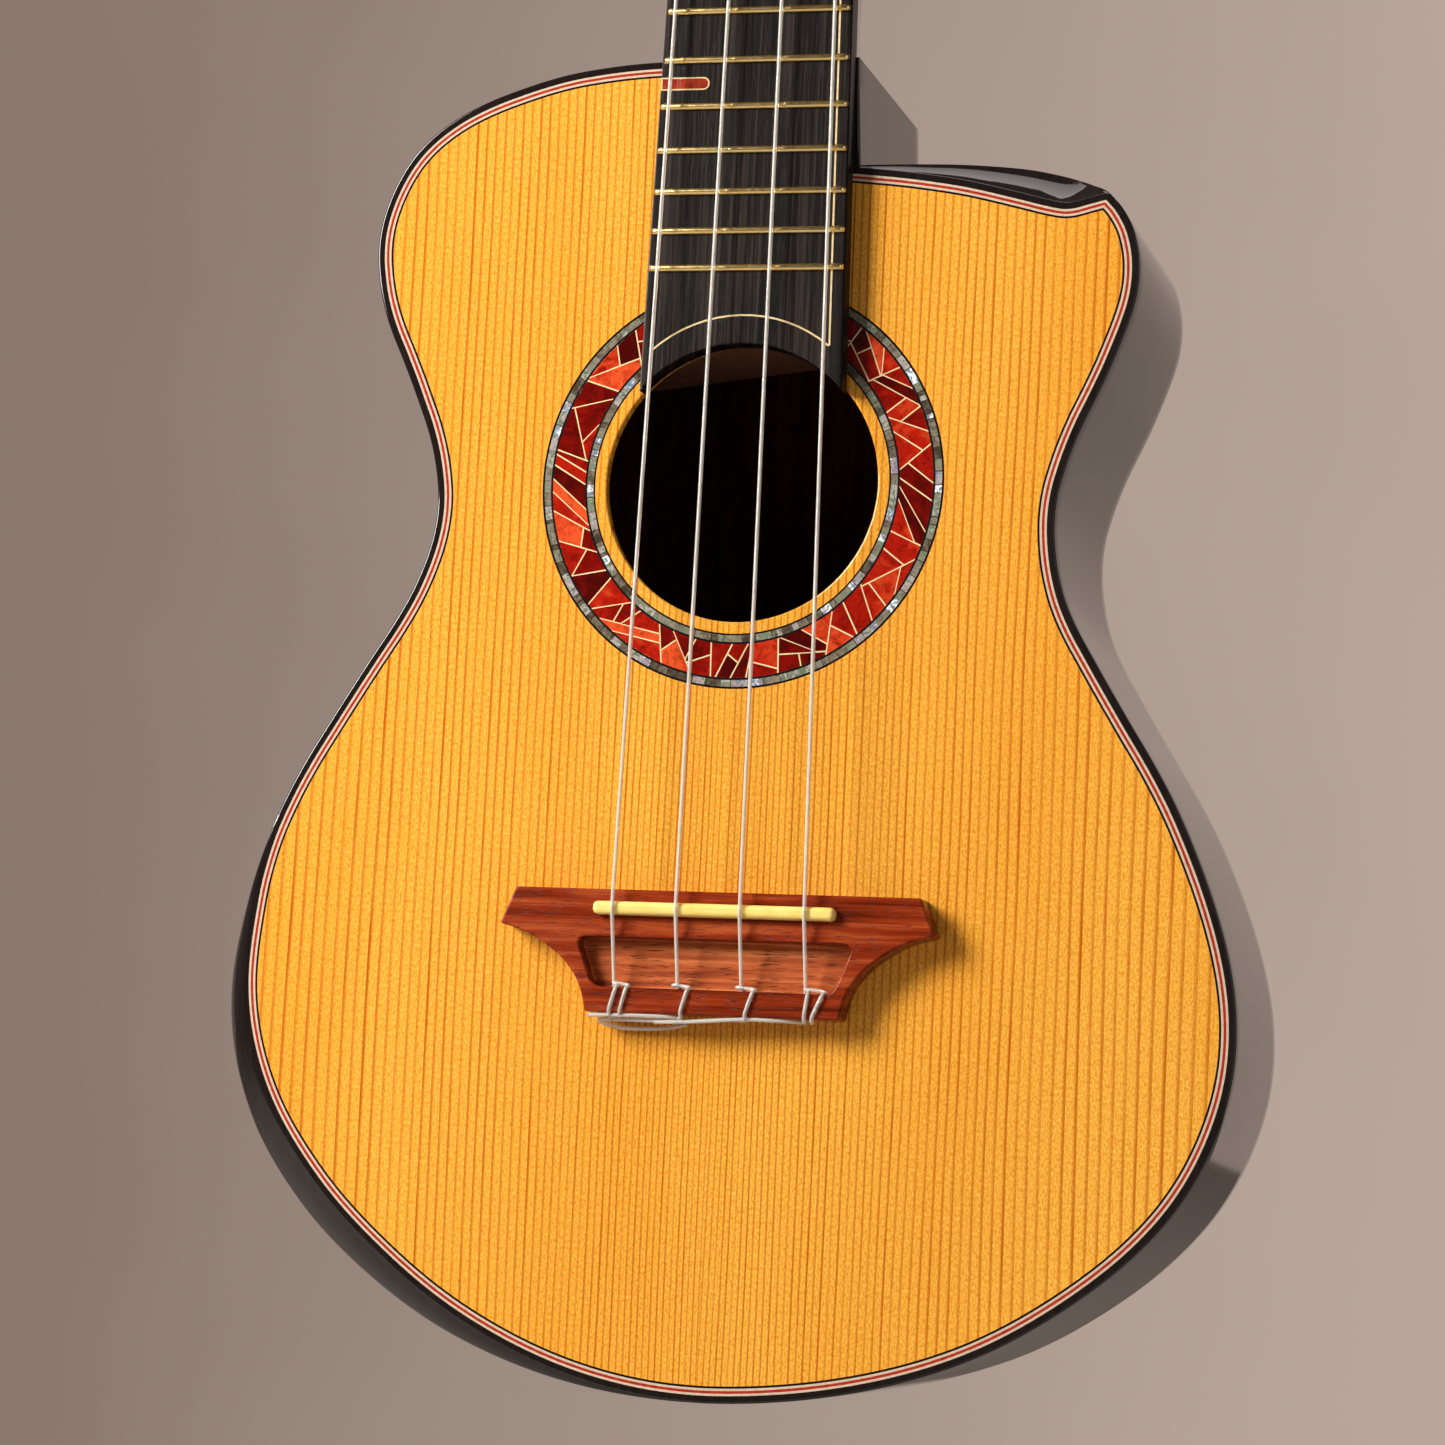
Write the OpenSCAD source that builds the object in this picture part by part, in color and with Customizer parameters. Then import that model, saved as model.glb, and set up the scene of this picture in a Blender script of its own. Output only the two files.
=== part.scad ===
// Tenor ukulele with a cutaway, an arm bevel and geared tuners.
// X is to the right seen from the front, Y goes from the front to the back, Z goes up along the neck.
// The origin lies on the centre line, at the nut's lower edge, in the plane of the soundboard.

/* [Strings] */
// Length from the nut to the saddle
scale_length = 432; // [425:1:436]
// Number of frets
fret_count = 19; // [14:1:19]
// Distance between neighbouring strings at the nut
nut_spacing = 10; // [9:0.5:10.5]
// Distance between neighbouring strings at the saddle
saddle_spacing = 14.6; // [13:0.2:15]
// Diameter of a string
string_d = 0.9; // [0.6:0.05:1]
// Height of the strings over the soundboard at the nut
nut_height = 6.9; // [6.8:0.1:7.2]
// Height of the strings over the soundboard at the saddle
saddle_height = 10.4; // [10:0.1:11]

/* [Neck] */
// Width of the fretboard at the nut
nut_width = 35.5; // [35:0.5:37]
// Growth of the fretboard's half width along its length
board_taper = 0.0181; // [0.017:0.0001:0.019]
// Thickness of the fretboard
board_t = 5.2; // [5:0.1:5.6]
// Thickness of the neck at the nut
neck_t = 14.5; // [13:0.5:16]
// Width of a fret wire
fret_w = 1.7; // [1.4:0.1:2]
// Height of a fret wire
fret_h = 0.95; // [0.8:0.05:1]

/* [Body] */
// Depth of the body
body_depth = 65; // [62:1:70]
// Thickness of the soundboard
top_t = 2.2; // [2:0.1:2.6]
// Thickness of the back
back_t = 2.4; // [2:0.1:2.8]
// Thickness of the sides and width of the bindings
side_t = 1.7; // [1.6:0.1:2]
// Depth of the bindings
binding_h = 5; // [4:0.5:6]
// Widest part of the arm bevel
arm_bevel_w = 7.5; // [5:0.5:8]
// Radius of the sound hole
hole_r = 31.5; // [28:0.5:32]

/* [Headstock] */
// Backward tilt of the headstock
head_tilt = 13; // [8:1:15]
// Thickness of the headstock without its veneer
head_t = 12; // [11:0.5:13]
// Thickness of the headstock veneer
veneer_t = 1.6; // [1:0.1:2]
// Distance of the tuner posts from the centre line
post_x = 19; // [18:0.5:20]
// Heights of the two rows of posts above the nut
post_rows = [38, 88];

/* [Tuners] */
// Teeth on each gear
gear_teeth = 14; // [14:1:14]
// Pitch of the worm thread
worm_pitch = 2.2; // [2.2:0.1:2.2]
// Radius of a tuner post
post_r = 3; // [2.8:0.1:3.1]
// Radial clearance of every turning fit
fit_gap = 0.05; // [0.03:0.01:0.08]

/* [Hidden] */
$fn = 48;

joint_z = -238;
hole_z = -336.2;
saddle_z = -scale_length - 1.4;
saddle_t = 3;
nut_t = 5;
nut_r = nut_width / 2;
bevel_base = 13;
bevel_lap = 1.3;
bevel_start = 0.7;
purfling_depth = 1.2;
edge_widths = [side_t, 0.5, 0.6, 0.5, 0.5];
edge_steps = [for (i = 0, s = 0; i <= 5; s = s + (i < 5 ? edge_widths[i] : 0), i = i + 1) s];
bout_centre = [0, -455];
arm_from = 163;
arm_to = 270;

// Points that the rim passes through, from the bass corner of the neck joint round the tail to the horn
rim_points = [[-18, -238], [-33, -238.8], [-50, -241.7], [-70, -249.2], [-83, -260.3],
    [-89.6, -277], [-87.8, -294.5], [-80, -312.5], [-73.6, -329], [-71.9, -345], [-77.2, -362.5],
    [-90, -384], [-104, -409],
    [-113.5, -437], [-116.6, -457], [-113.4, -476], [-104.3, -493.5], [-88, -511], [-63, -527.3],
    [-33, -537.6], [0, -541], [33, -537.4], [62, -527.9], [87, -512], [104, -494.6], [113.5, -475],
    [116.1, -455], [112, -433], [101, -406.5], [85.8, -381.5], [75, -362], [71.9, -343.5],
    [75.4, -327.5], [82.5, -311], [87.6, -296.5], [88.6, -287], [87.2, -279.4], [84.6, -274.2],
    [82, -271.1], [81.3, -270.4]];
// The cutaway's outer edge and its front edge, both from the horn back to the neck
cut_outer = [[81.3, -270.4], [79.8, -269.3], [77.3, -267.8], [73.2, -265.7], [68, -264], [60, -262.5],
    [48, -262.1], [36, -262.5], [24, -263]];
cut_front = [[81.3, -270.4], [80, -270.4], [76.5, -271.3], [72.2, -272.3], [68, -271.7], [61, -269.9],
    [49, -267], [36, -264.9], [24, -263.6]];
neck_corner = [22.6, joint_z];
rim_steps = 3;
cut_steps = 3;

// A point on the smooth curve between b and c, with its neighbours a and d
function between(a, b, c, d, t) =
    0.5 * (2 * b + (c - a) * t + (2 * a - 5 * b + 4 * c - d) * t * t + (3 * b - a - 3 * c + d) * t * t * t);
function smooth(p, n) = let (m = len(p) - 1) concat(
    [for (i = [0:m - 1], k = [0:n - 1])
        between(p[max(i - 1, 0)], p[i], p[i + 1], p[min(i + 2, m)], k / n)],
    [p[m]]);
function unit(v) = v / norm(v);
function left_of(v) = [-v[1], v[0]];
// Corner i of a closed outline, moved inwards by d so that both its edges move by d
function mitre(p, i, d) = let (
    n = len(p),
    m = left_of(unit(p[i] - p[(i + n - 1) % n])) + left_of(unit(p[(i + 1) % n] - p[i])))
    p[i] + m * d * 2 / (m * m);
function from_edge(q, a, b) = let (v = b - a, t = max(0, min(1, (q - a) * v / (v * v)))) norm(q - a - t * v);
function clearance(q, p) =
    min([for (i = [0:len(p) - 1]) from_edge(q, p[i], p[(i + 1) % len(p)])]);
// A closed outline moved inwards by d, without the corners that the move swallows
function inset(p, d) = d == 0 ? p :
    [for (i = [0:len(p) - 1]) let (q = mitre(p, i, d)) if (clearance(q, p) > d - 0.01) q];
function arm_turn(p) = (atan2(p[1] - bout_centre[1], p[0] - bout_centre[0]) + 360) % 360;
function arm_width(p) = let (u = (arm_turn(p) - arm_from) / (arm_to - arm_from))
    u > 0 && u < 1 && p[0] < 0 ? arm_bevel_w * pow(sin(180 * pow(u, 0.7)), 1.8) : 0;

rim_curve = smooth(rim_points, rim_steps);
rim = concat([neck_corner], rim_curve, [for (i = [1:len(cut_outer) * cut_steps - cut_steps])
    smooth(cut_outer, cut_steps)[i]]);
front = concat([neck_corner], [for (i = [1:len(rim_curve)]) mitre(rim, i, arm_width(rim[i]))],
    [for (i = [1:len(cut_front) * cut_steps - cut_steps]) smooth(cut_front, cut_steps)[i]]);
front_lines = [for (s = edge_steps) inset(front, s)];
rim_inner = inset(rim, side_t);

function board_half(z) = nut_r - board_taper * z;
function fret_z(n) = -scale_length * (1 - pow(2, -n / 12));
function string_x(n, spacing) = (n - 1.5) * spacing;
function around(c, w) = [c - w / 2, c + w / 2];

// Stands a flat outline up in the XZ plane and gives it the depth from y0 to y1
module upright(y0, y1) {
    translate([0, y1, 0]) rotate([90, 0, 0]) linear_extrude(y1 - y0) children();
}
module ring_between(outer, inner) {
    difference() {
        polygon(outer);
        polygon(inner);
    }
}
module box(x, y, z) {
    translate([x[0], y[0], z[0]]) cube([x[1] - x[0], y[1] - y[0], z[1] - z[0]]);
}
// A closed skin through equal rows of points
module skin(rows) {
    n = len(rows[0]);
    m = len(rows);
    polyhedron(
        points = [for (row = rows) each row],
        faces = concat(
            [for (i = [0:m - 2], j = [0:n - 1]) [i * n + j, (i + 1) * n + j, i * n + (j + 1) % n]],
            [for (i = [0:m - 2], j = [0:n - 1])
                [i * n + (j + 1) % n, (i + 1) * n + j, (i + 1) * n + (j + 1) % n]],
            [[for (j = [0:n - 1]) j]],
            [[for (j = [n - 1:-1:0]) (m - 1) * n + j]]));
}

// The bevels: blocks that slope from the front edge down to the rim

arm_stations = [for (i = [1:len(rim_curve)]) if (arm_width(rim[i]) > bevel_start) i];
cut_stations = [for (i = [len(rim_curve) + 1:len(rim) - 1]) if (norm(rim[i] - front[i]) > bevel_start) i];
function at_depth(p, y) = [p[0], y, p[1]];
function lap(i) = front[i] + unit(front[i] - rim[i]) * bevel_lap;
function bevel_row(i, bow) = let (d = min(norm(rim[i] - front[i]) * 1.15, bevel_base - 2)) [
    at_depth(front[i], 0), at_depth((front[i] + rim[i]) / 2, d * bow), at_depth(rim[i], d),
    at_depth(rim[i], bevel_base), at_depth(lap(i), bevel_base), at_depth(lap(i), binding_h),
    at_depth(front[i], binding_h)];
module bevel(stations, bow) {
    skin([for (i = stations) bevel_row(i, bow)]);
}
module bevel_room(stations) {
    upright(binding_h - 1, bevel_base)
        polygon(concat([for (i = stations) mitre(rim, i, -2)],
            [for (k = [len(stations) - 1:-1:0]) lap(stations[k])]));
}
module arm_bevel() { color("#15110f") bevel(arm_stations, 0.36); }
module cutaway_bevel() { color("#15110f") bevel(cut_stations, 0.6); }

// The sound box

module soundboard() {
    color("#c8751f") difference() {
        union() {
            upright(0, purfling_depth) polygon(front_lines[5]);
            upright(purfling_depth, top_t) polygon(front_lines[1]);
        }
        translate([0, top_t + 1, hole_z]) rotate([90, 0, 0]) cylinder(r = hole_r, h = top_t + 2);
        translate([0, 0, hole_z]) upright(-1, purfling_depth) difference() {
            circle(r = rosette_radii[5]);
            circle(r = rosette_radii[0]);
        }
    }
}
module back() {
    color("#241511") upright(body_depth - back_t, body_depth) polygon(rim_inner);
}
module sides() {
    color("#241511") difference() {
        upright(binding_h, body_depth - binding_h) ring_between(rim, rim_inner);
        bevel_room(arm_stations);
        bevel_room(cut_stations);
    }
}
module top_binding() {
    color("#141110") upright(0, binding_h) ring_between(front, front_lines[1]);
}
module back_binding() {
    color("#141110") upright(body_depth - binding_h, body_depth) ring_between(rim, rim_inner);
}
module white_purfling() {
    color("#efe9dc") upright(0, purfling_depth) {
        ring_between(front_lines[1], front_lines[2]);
        ring_between(front_lines[3], front_lines[4]);
    }
}
module red_purfling() {
    color("#a3271b") upright(0, purfling_depth) ring_between(front_lines[2], front_lines[3]);
}
module black_purfling() {
    color("#141110") upright(0, purfling_depth) ring_between(front_lines[4], front_lines[5]);
}

lining_w = 5;
lining_h = 9;
lining_gap = 0.1;
block_x = [-52, 20];
block_end_z = [-303.9, -294.7];
tail_x = 26;
tail_z = -522;
inside_y = [top_t, body_depth - back_t];
clear_inside = inset(front, side_t + lining_gap);
module neck_block() {
    color("#9a6236") upright(inside_y[0], inside_y[1]) intersection() {
        polygon(clear_inside);
        polygon([[block_x[0], joint_z], [block_x[1], joint_z], [block_x[1], block_end_z[1]],
            [block_x[0], block_end_z[0]]]);
    }
}
module tail_block() {
    color("#9a6236") intersection() {
        upright(inside_y[0], inside_y[1]) polygon(clear_inside);
        box([-tail_x, tail_x], [0, body_depth], [-560, tail_z]);
    }
}
module clear_of_blocks() {
    difference() {
        children();
        box([block_x[0], neck_corner[0]], [0, body_depth], [block_end_z[0], joint_z]);
        box([-tail_x, tail_x], [0, body_depth], [-560, tail_z]);
    }
}
module top_linings() {
    color("#c9a06a") clear_of_blocks() upright(top_t, top_t + lining_h)
        ring_between(clear_inside, inset(front, side_t + lining_w));
}
module back_linings() {
    color("#c9a06a") clear_of_blocks() upright(inside_y[1] - lining_h, inside_y[1])
        ring_between(rim_inner, inset(rim, side_t + lining_w));
}

bar_w = 8;
bar_h = 8;
fan_w = 5;
fan_h = 5;
fan_turns = [-14, -7, 0, 7, 14];
fan_spread = 24;
plate_t = 1.8;
plate_size = [118, 32];
plate_z = -442;
top_bar_z = [-288, -378];
back_bar_z = [-372, -430, -490];
// A wooden bar across the body, glued to the plane y and h deep
module cross_bar(z, y, h, towards_back) {
    translate([-120, y, z]) rotate([90, 0, 90]) linear_extrude(240)
        polygon([[0, -bar_w / 2], [0, bar_w / 2], [towards_back * h * 0.6, bar_w / 2],
            [towards_back * h, 0], [towards_back * h * 0.6, -bar_w / 2]]);
}
module soundboard_braces() {
    color("#d9b98a") difference() {
        intersection() {
            upright(0, body_depth) polygon(inset(front, side_t + lining_w + 0.3));
            union() {
                for (z = top_bar_z) cross_bar(z, top_t, bar_h, 1);
                for (k = [0:len(fan_turns) - 1])
                    translate([(k - 2) * fan_spread, 0, plate_z + 10]) rotate([0, -fan_turns[k], 0])
                        box([-fan_w / 2, fan_w / 2], [top_t, top_t + fan_h], [-76, 44]);
            }
        }
        bridge_plate();
        neck_block();
        box([-60, 60], [0, body_depth], [-560, tail_z + 3]);
    }
}
module bridge_plate() {
    color("#b98d5a") box([-plate_size[0] / 2, plate_size[0] / 2], [top_t, top_t + plate_t],
        [plate_z - plate_size[1] / 2, plate_z + plate_size[1] / 2]);
}
module back_braces() {
    color("#d9b98a") intersection() {
        upright(0, body_depth) polygon(inset(rim, side_t + lining_w + 0.3));
        union() for (z = back_bar_z) cross_bar(z, inside_y[1], bar_h, -1);
    }
}

// The rosette: dark lines, a shell ring, the mosaic and another shell ring

rosette_radii = [34.2, 34.6, 36.1, 36.6, 44.2, 46.7];
shell_rings = [[34.6, 36.1], [44.7, 46.2]];
module rosette_ring(r0, r1) {
    translate([0, 0, hole_z]) upright(0, purfling_depth) difference() {
        circle(r = r1, $fn = 96);
        circle(r = r0, $fn = 96);
    }
}
module rosette_mosaic() {
    color("#8e2f1c") rosette_ring(rosette_radii[3], rosette_radii[4]);
}
module rosette_shell() {
    color("#7fb2a6") for (r = shell_rings) rosette_ring(r[0], r[1]);
}
module rosette_lines() {
    color("#171312") {
        rosette_ring(rosette_radii[0], rosette_radii[1]);
        rosette_ring(rosette_radii[2], rosette_radii[3]);
        rosette_ring(rosette_radii[4], shell_rings[1][0]);
        rosette_ring(shell_rings[1][1], rosette_radii[5]);
    }
}

// Neck, fretboard and headstock

heel_z = -184;
heel_reach = 40;
heel_y = 61.5;
heel_cap_t = 3;
heel_keel = 84;
heel_sharpness = 1.8;
rod_size = [6, 8];
rod_z = [-226, -6];
section_points = 20;
// The neck's section at height z, with its keel at depth d, round at sharpness 1 and nearly a V towards 2
function neck_row(z, d, sharpness) = [for (j = [0:section_points]) let (a = 180 * j / section_points)
    [-board_half(min(z, 0)) * sign(cos(a)) * pow(abs(cos(a)), sharpness), d * pow(sin(a), sharpness), z]];
heel_start = neck_t + 2;
function heel_depth(a) = heel_start + (heel_keel - heel_start) * (1 - cos(a));
neck_rows = concat([neck_row(nut_t, neck_t, 1), neck_row(0, neck_t, 1), neck_row(heel_z, heel_start, 1)],
    [for (a = [10:10:90]) neck_row(heel_z - heel_reach * sin(a), heel_depth(a),
        1 + (heel_sharpness - 1) * (1 - cos(a)))],
    [neck_row(joint_z, heel_keel, heel_sharpness)]);

head_points = [[17.8, 0], [19.6, 8], [26.5, 19], [30.5, 33], [30.8, 62], [32.4, 104], [31.5, 118],
    [23, 126], [10, 127], [0, 131]];
head_curve = smooth(head_points, 4);
head_outline = concat(head_curve,
    [for (i = [len(head_curve) - 2:-1:0]) [-head_curve[i][0], head_curve[i][1]]]);
head_back = veneer_t + head_t;
module in_head() {
    translate([0, 0, nut_t]) rotate([-head_tilt, 0, 0]) children();
}
// Puts a piece on each of the four posts, or on the one of string n
module at_tuner(n) {
    side = n < 2 ? -1 : 1;
    row = n == 0 || n == 3 ? 0 : 1;
    in_head() mirror([side < 0 ? 1 : 0, 0, 0]) translate([post_x, 0, post_rows[row]]) children();
}
module at_tuners() {
    for (n = [0:3]) at_tuner(n) children();
}
// A cylinder along the head's depth, from y0 to y1
module head_bore(r, y0, y1) {
    translate([0, y1, 0]) rotate([90, 0, 0]) cylinder(r = r, h = y1 - y0);
}

module neck() {
    color("#2b1a13") difference() {
        union() {
            intersection() {
                skin(neck_rows);
                box([-40, 40], [0, heel_y], [-260, nut_t]);
            }
            in_head() upright(veneer_t, head_back) polygon(head_outline);
        }
        box([-rod_size[0] / 2, rod_size[0] / 2], [-1, rod_size[1]], rod_z);
        in_head() box([-40, 40], [-30, 0], [-30, 0]);
        box([-40, 40], [-30, 0], [-30, nut_t]);
        at_tuners() {
            head_bore(bushing_r, -1, bushing_l);
            head_bore(post_r + 0.6, 0, head_back + 1);
            for (p = screw_spots) translate([p[0], 0, p[1]])
                head_bore(screw_r, head_back - screw_l, head_back + 1);
        }
    }
}
module heel_cap() {
    color("#141110") intersection() {
        skin(neck_rows);
        box([-40, 40], [heel_y, heel_y + heel_cap_t], [-260, 0]);
    }
}
module headstock_veneer() {
    color("#171312") difference() {
        in_head() upright(0, veneer_t) polygon(head_outline);
        box([-40, 40], [0, head_t], [0, nut_t]);
        at_tuners() head_bore(bushing_r, -1, veneer_t + 1);
    }
}
module neck_rod() {
    color("#54565a") box([-rod_size[0] / 2, rod_size[0] / 2], [0, rod_size[1]], rod_z);
}

board_end_r = 31;
board_end_z = -318;
slot_w = 0.6;
slot_depth = 1.6;
module board_shape() {
    difference() {
        polygon([[-nut_r, 0], [nut_r, 0], [board_half(board_end_z), board_end_z],
            [-board_half(board_end_z), board_end_z]]);
        translate([0, hole_z]) circle(r = board_end_r, $fn = 96);
    }
}
inlay_t = 0.4;
stripe_w = 0.4;
stripe_inset = 2.5;
stripe_r = 31.7;
stripe_z = hole_z + 5.8;
stripe_x = [-21, 20];
stripe_corner = [stripe_x[1], stripe_z + sqrt(pow(stripe_r, 2) - pow(stripe_x[1], 2))];
module stripe_shape() {
    intersection() {
        board_shape();
        translate([0, stripe_z]) difference() {
            circle(r = stripe_r + stripe_w / 2, $fn = 96);
            circle(r = stripe_r - stripe_w / 2, $fn = 96);
        }
        translate([stripe_x[0], stripe_z]) square([stripe_x[1] - stripe_x[0], 60]);
    }
    polygon([[nut_r - stripe_inset, 0], [nut_r - stripe_inset + stripe_w, 0],
        [stripe_corner[0] + stripe_w, stripe_corner[1]], [stripe_corner[0], stripe_corner[1]]]);
}
marker_frets = [5, 7, 10, 12, 15];
marker_h = 3;
marker_l = 11.5;
// A bar inlay with one round end, from the bass edge, between fret n and the fret before it
module marker_shape(n) {
    z = (fret_z(n) + fret_z(n - 1)) / 2;
    translate([0, z]) intersection() {
        union() {
            translate([-board_half(z) - 1, -marker_h / 2]) square([marker_l - marker_h / 2 + 1, marker_h]);
            translate([-board_half(z) + marker_l - marker_h / 2, 0]) circle(d = marker_h, $fn = 32);
        }
        translate([-board_half(z) + 0.05, -marker_h]) square([marker_l + 2, marker_h * 2]);
    }
}
module inlays_shape() {
    stripe_shape();
    for (n = marker_frets) marker_shape(n);
}
module fretboard() {
    color("#2c2a2b") difference() {
        upright(-board_t, 0) board_shape();
        upright(-board_t - 1, -board_t + inlay_t) inlays_shape();
        for (n = [1:fret_count])
            box([-30, 30], [-board_t - 1, -board_t + slot_depth], around(fret_z(n), slot_w));
    }
}
module slots_away() {
    difference() {
        children();
        for (n = [1:fret_count])
            box([-30, 30], [-board_t - 1, 0], around(fret_z(n), slot_w));
    }
}
module pinstripe() {
    color("#d9bd7a") slots_away() upright(-board_t, -board_t + inlay_t) stripe_shape();
}
module fret_markers() {
    color("#9b2a20") upright(-board_t, -board_t + inlay_t) for (n = marker_frets) marker_shape(n);
}
crown_r = (pow(fret_w / 2, 2) + pow(fret_h, 2)) / (2 * fret_h);
module frets() {
    color("#c9a14a") for (n = [1:fret_count]) {
        half = board_half(fret_z(n)) - 0.1;
        translate([0, -board_t, fret_z(n)]) {
            difference() {
                translate([-half, crown_r - fret_h, 0]) rotate([0, 90, 0])
                    cylinder(r = crown_r, h = half * 2);
                box([-40, 40], [0, 10], [-10, 10]);
            }
            box([-half, half], [0, slot_depth - 0.1], [-slot_w / 2, slot_w / 2]);
        }
    }
}

nut_top = nut_height + 0.3;
module nut() {
    color("#e9dfc6") difference() {
        box([-nut_r, nut_r], [-nut_top, 0], [0, nut_t]);
        for (n = [0:3]) translate([string_x(n, nut_spacing), -nut_height, -1])
            cylinder(d = string_d + 0.02, h = nut_t + 2);
        for (n = [0:3]) box(around(string_x(n, nut_spacing), string_d), [-nut_top - 1, -nut_height],
            [-1, nut_t + 1]);
        translate([0, -nut_top, nut_t]) rotate([-30, 0, 0]) box([-30, 30], [-6, 0], [-6, 6]);
    }
}

// Bridge: a thick plate with two pointed wings and a trough between its saddle and its tie block

bridge_x = 0.9;
bridge_h = 7.4;
bridge_top = [46.3, -429.1];
bridge_tip = [49.6, -437.4];
bridge_foot = [29, -456.4];
wing_curve = smooth([bridge_tip, [42.8, -439.5], [36.3, -443.5], [32, -448], [29.9, -452.4],
    bridge_foot], 4);
bridge_right = concat([bridge_top], wing_curve);
bridge_outline = concat(bridge_right,
    [for (i = [len(bridge_right) - 1:-1:0]) [-bridge_right[i][0], bridge_right[i][1]]]);
trough_z = [-450.8, -439.8];
trough_half = [27.5, 31.7];
trough_y = 3;
trough_rounding = 2.4;
// Corner b of an outline, rounded off from d before it to d after it
function rounded(a, b, c, d) = [for (t = [0:0.25:1])
    b + d * pow(1 - t, 2) * unit(a - b) + d * pow(t, 2) * unit(c - b)];
trough_corners = [[-trough_half[0], trough_z[0]], [trough_half[0], trough_z[0]],
    [trough_half[1], trough_z[1]], [-trough_half[1], trough_z[1]]];
trough_outline = [for (i = [0:3])
    let (before = trough_corners[(i + 3) % 4], after = trough_corners[(i + 1) % 4])
    each rounded(before, trough_corners[i], after, trough_rounding)];
hole_y = 5;
hole_d = 1.6;
saddle_half = 27.6;
saddle_seat = 4;
module bridge() {
    color("#5a2a1c") difference() {
        translate([bridge_x, 0, 0]) difference() {
            upright(-bridge_h, 0) polygon(bridge_outline);
            upright(-bridge_h - 1, -trough_y) polygon(trough_outline);
            box([-saddle_half, saddle_half], [-bridge_h - 1, -saddle_seat], around(saddle_z, saddle_t));
        }
        for (n = [0:3]) translate([string_x(n, saddle_spacing), -hole_y, -460])
            cylinder(d = hole_d, h = 15);
    }
}
saddle_top = saddle_height - string_d / 2;
module saddle() {
    color("#e6d28f") translate([bridge_x - saddle_half, 0, saddle_z]) {
        translate([0, -saddle_top + saddle_t / 2, 0]) rotate([0, 90, 0])
            cylinder(d = saddle_t, h = 2 * saddle_half);
        box([0, 2 * saddle_half], [-saddle_top + saddle_t / 2, -saddle_seat], around(0, saddle_t));
    }
}

// Strings g, c, e and a are strings 0 to 3

string_end_gap = 3;
wind_y = -5;
function in_head_frame(p) = [p[0], p[1] * cos(head_tilt) + p[2] * sin(head_tilt),
    nut_t - p[1] * sin(head_tilt) + p[2] * cos(head_tilt)];
function post_row(n) = post_rows[n == 0 || n == 3 ? 0 : 1];
function string_route(n) = let (side = n < 2 ? -1 : 1) [
    in_head_frame([side * (post_x - wind_r), wind_y, post_row(n) - string_end_gap]),
    [string_x(n, nut_spacing), -nut_height, nut_t - 1],
    [string_x(n, nut_spacing), -nut_height, 0],
    [string_x(n, saddle_spacing), -saddle_height, saddle_z],
    [string_x(n, saddle_spacing), -hole_y, trough_z[0] + 1],
    [string_x(n, saddle_spacing), -hole_y, bridge_foot[1] - 1.5]];
function string_row(p) = [for (a = [0:30:330]) p + string_d / 2 * [cos(a), -sin(a), 0]];
module string(n) {
    color("#dcd8cc") skin([for (p = string_route(n)) string_row(p)]);
}

// Tuners: a post with a gear through the headstock, turned by a worm on the button's shaft

bushing_r = 4.6;
bushing_l = 9;
flange_r = 6.2;
flange_t = 1.4;
plate_w = [-9.6, 9.6];
plate_l = [-7.5, 11.6];
base_t = 1.2;
gear_t = 2;
gear_y = head_back + base_t + 0.8;
worm_y = gear_y + gear_t / 2;
gear_out_r = 5;
gear_root_r = 4.4;
worm_root_r = 1.8;
worm_out_r = 2.5;
worm_z = 7.05;
worm_half = 4.6;
shaft_r = 1.5;
ear_x = [5.2, 7.4];
ear_r = 2.4;
screw_r = 1;
screw_l = 7;
screw_spots = [[-7.4, -5.3], [7.4, -5.3]];
waist_r = 2.5;
wind_r = waist_r + string_d / 2;
post_top = 9.5;
module tuner_plates() {
    color("#c9a14a") at_tuners() difference() {
        union() {
            upright(head_back, head_back + base_t) translate([plate_w[0], plate_l[0]])
                square([plate_w[1] - plate_w[0], plate_l[1] - plate_l[0]]);
            for (side = [-1, 1]) translate([side * (ear_x[0] + ear_x[1]) / 2, worm_y, worm_z]) {
                rotate([0, 90, 0]) cylinder(r = ear_r, h = ear_x[1] - ear_x[0], center = true);
                box([-1, 1] * (ear_x[1] - ear_x[0]) / 2, [-worm_y + head_back, 0], [-ear_r, ear_r]);
            }
        }
        head_bore(post_r + fit_gap, head_back - 1, head_back + base_t + 1);
        box([-1, 1] * ear_x[0], [head_back - 1, head_back + base_t + 1],
            around(worm_z, 2 * worm_out_r + 0.8));
        translate([-20, worm_y, worm_z]) rotate([0, 90, 0]) cylinder(r = shaft_r + fit_gap, h = 40);
        for (p = screw_spots) translate([p[0], 0, p[1]])
            head_bore(screw_r, head_back - 1, head_back + base_t + 1);
    }
}
module tuner_bushings() {
    color("#c9a14a") at_tuners() difference() {
        union() {
            head_bore(bushing_r, 0, bushing_l);
            head_bore(flange_r, -flange_t, 0);
        }
        head_bore(post_r + fit_gap, -flange_t - 1, bushing_l + 1);
    }
}
module tuner_screws() {
    color("#c9a14a") at_tuners() for (p = screw_spots) translate([p[0], 0, p[1]]) {
        head_bore(screw_r, head_back - screw_l, head_back + base_t);
        translate([0, head_back + base_t, 0]) rotate([-90, 0, 0]) difference() {
            cylinder(r1 = 1.9, r2 = 1.5, h = 1);
            translate([-0.25, -3, 0.5]) cube([0.5, 6, 1]);
        }
    }
}
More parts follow.
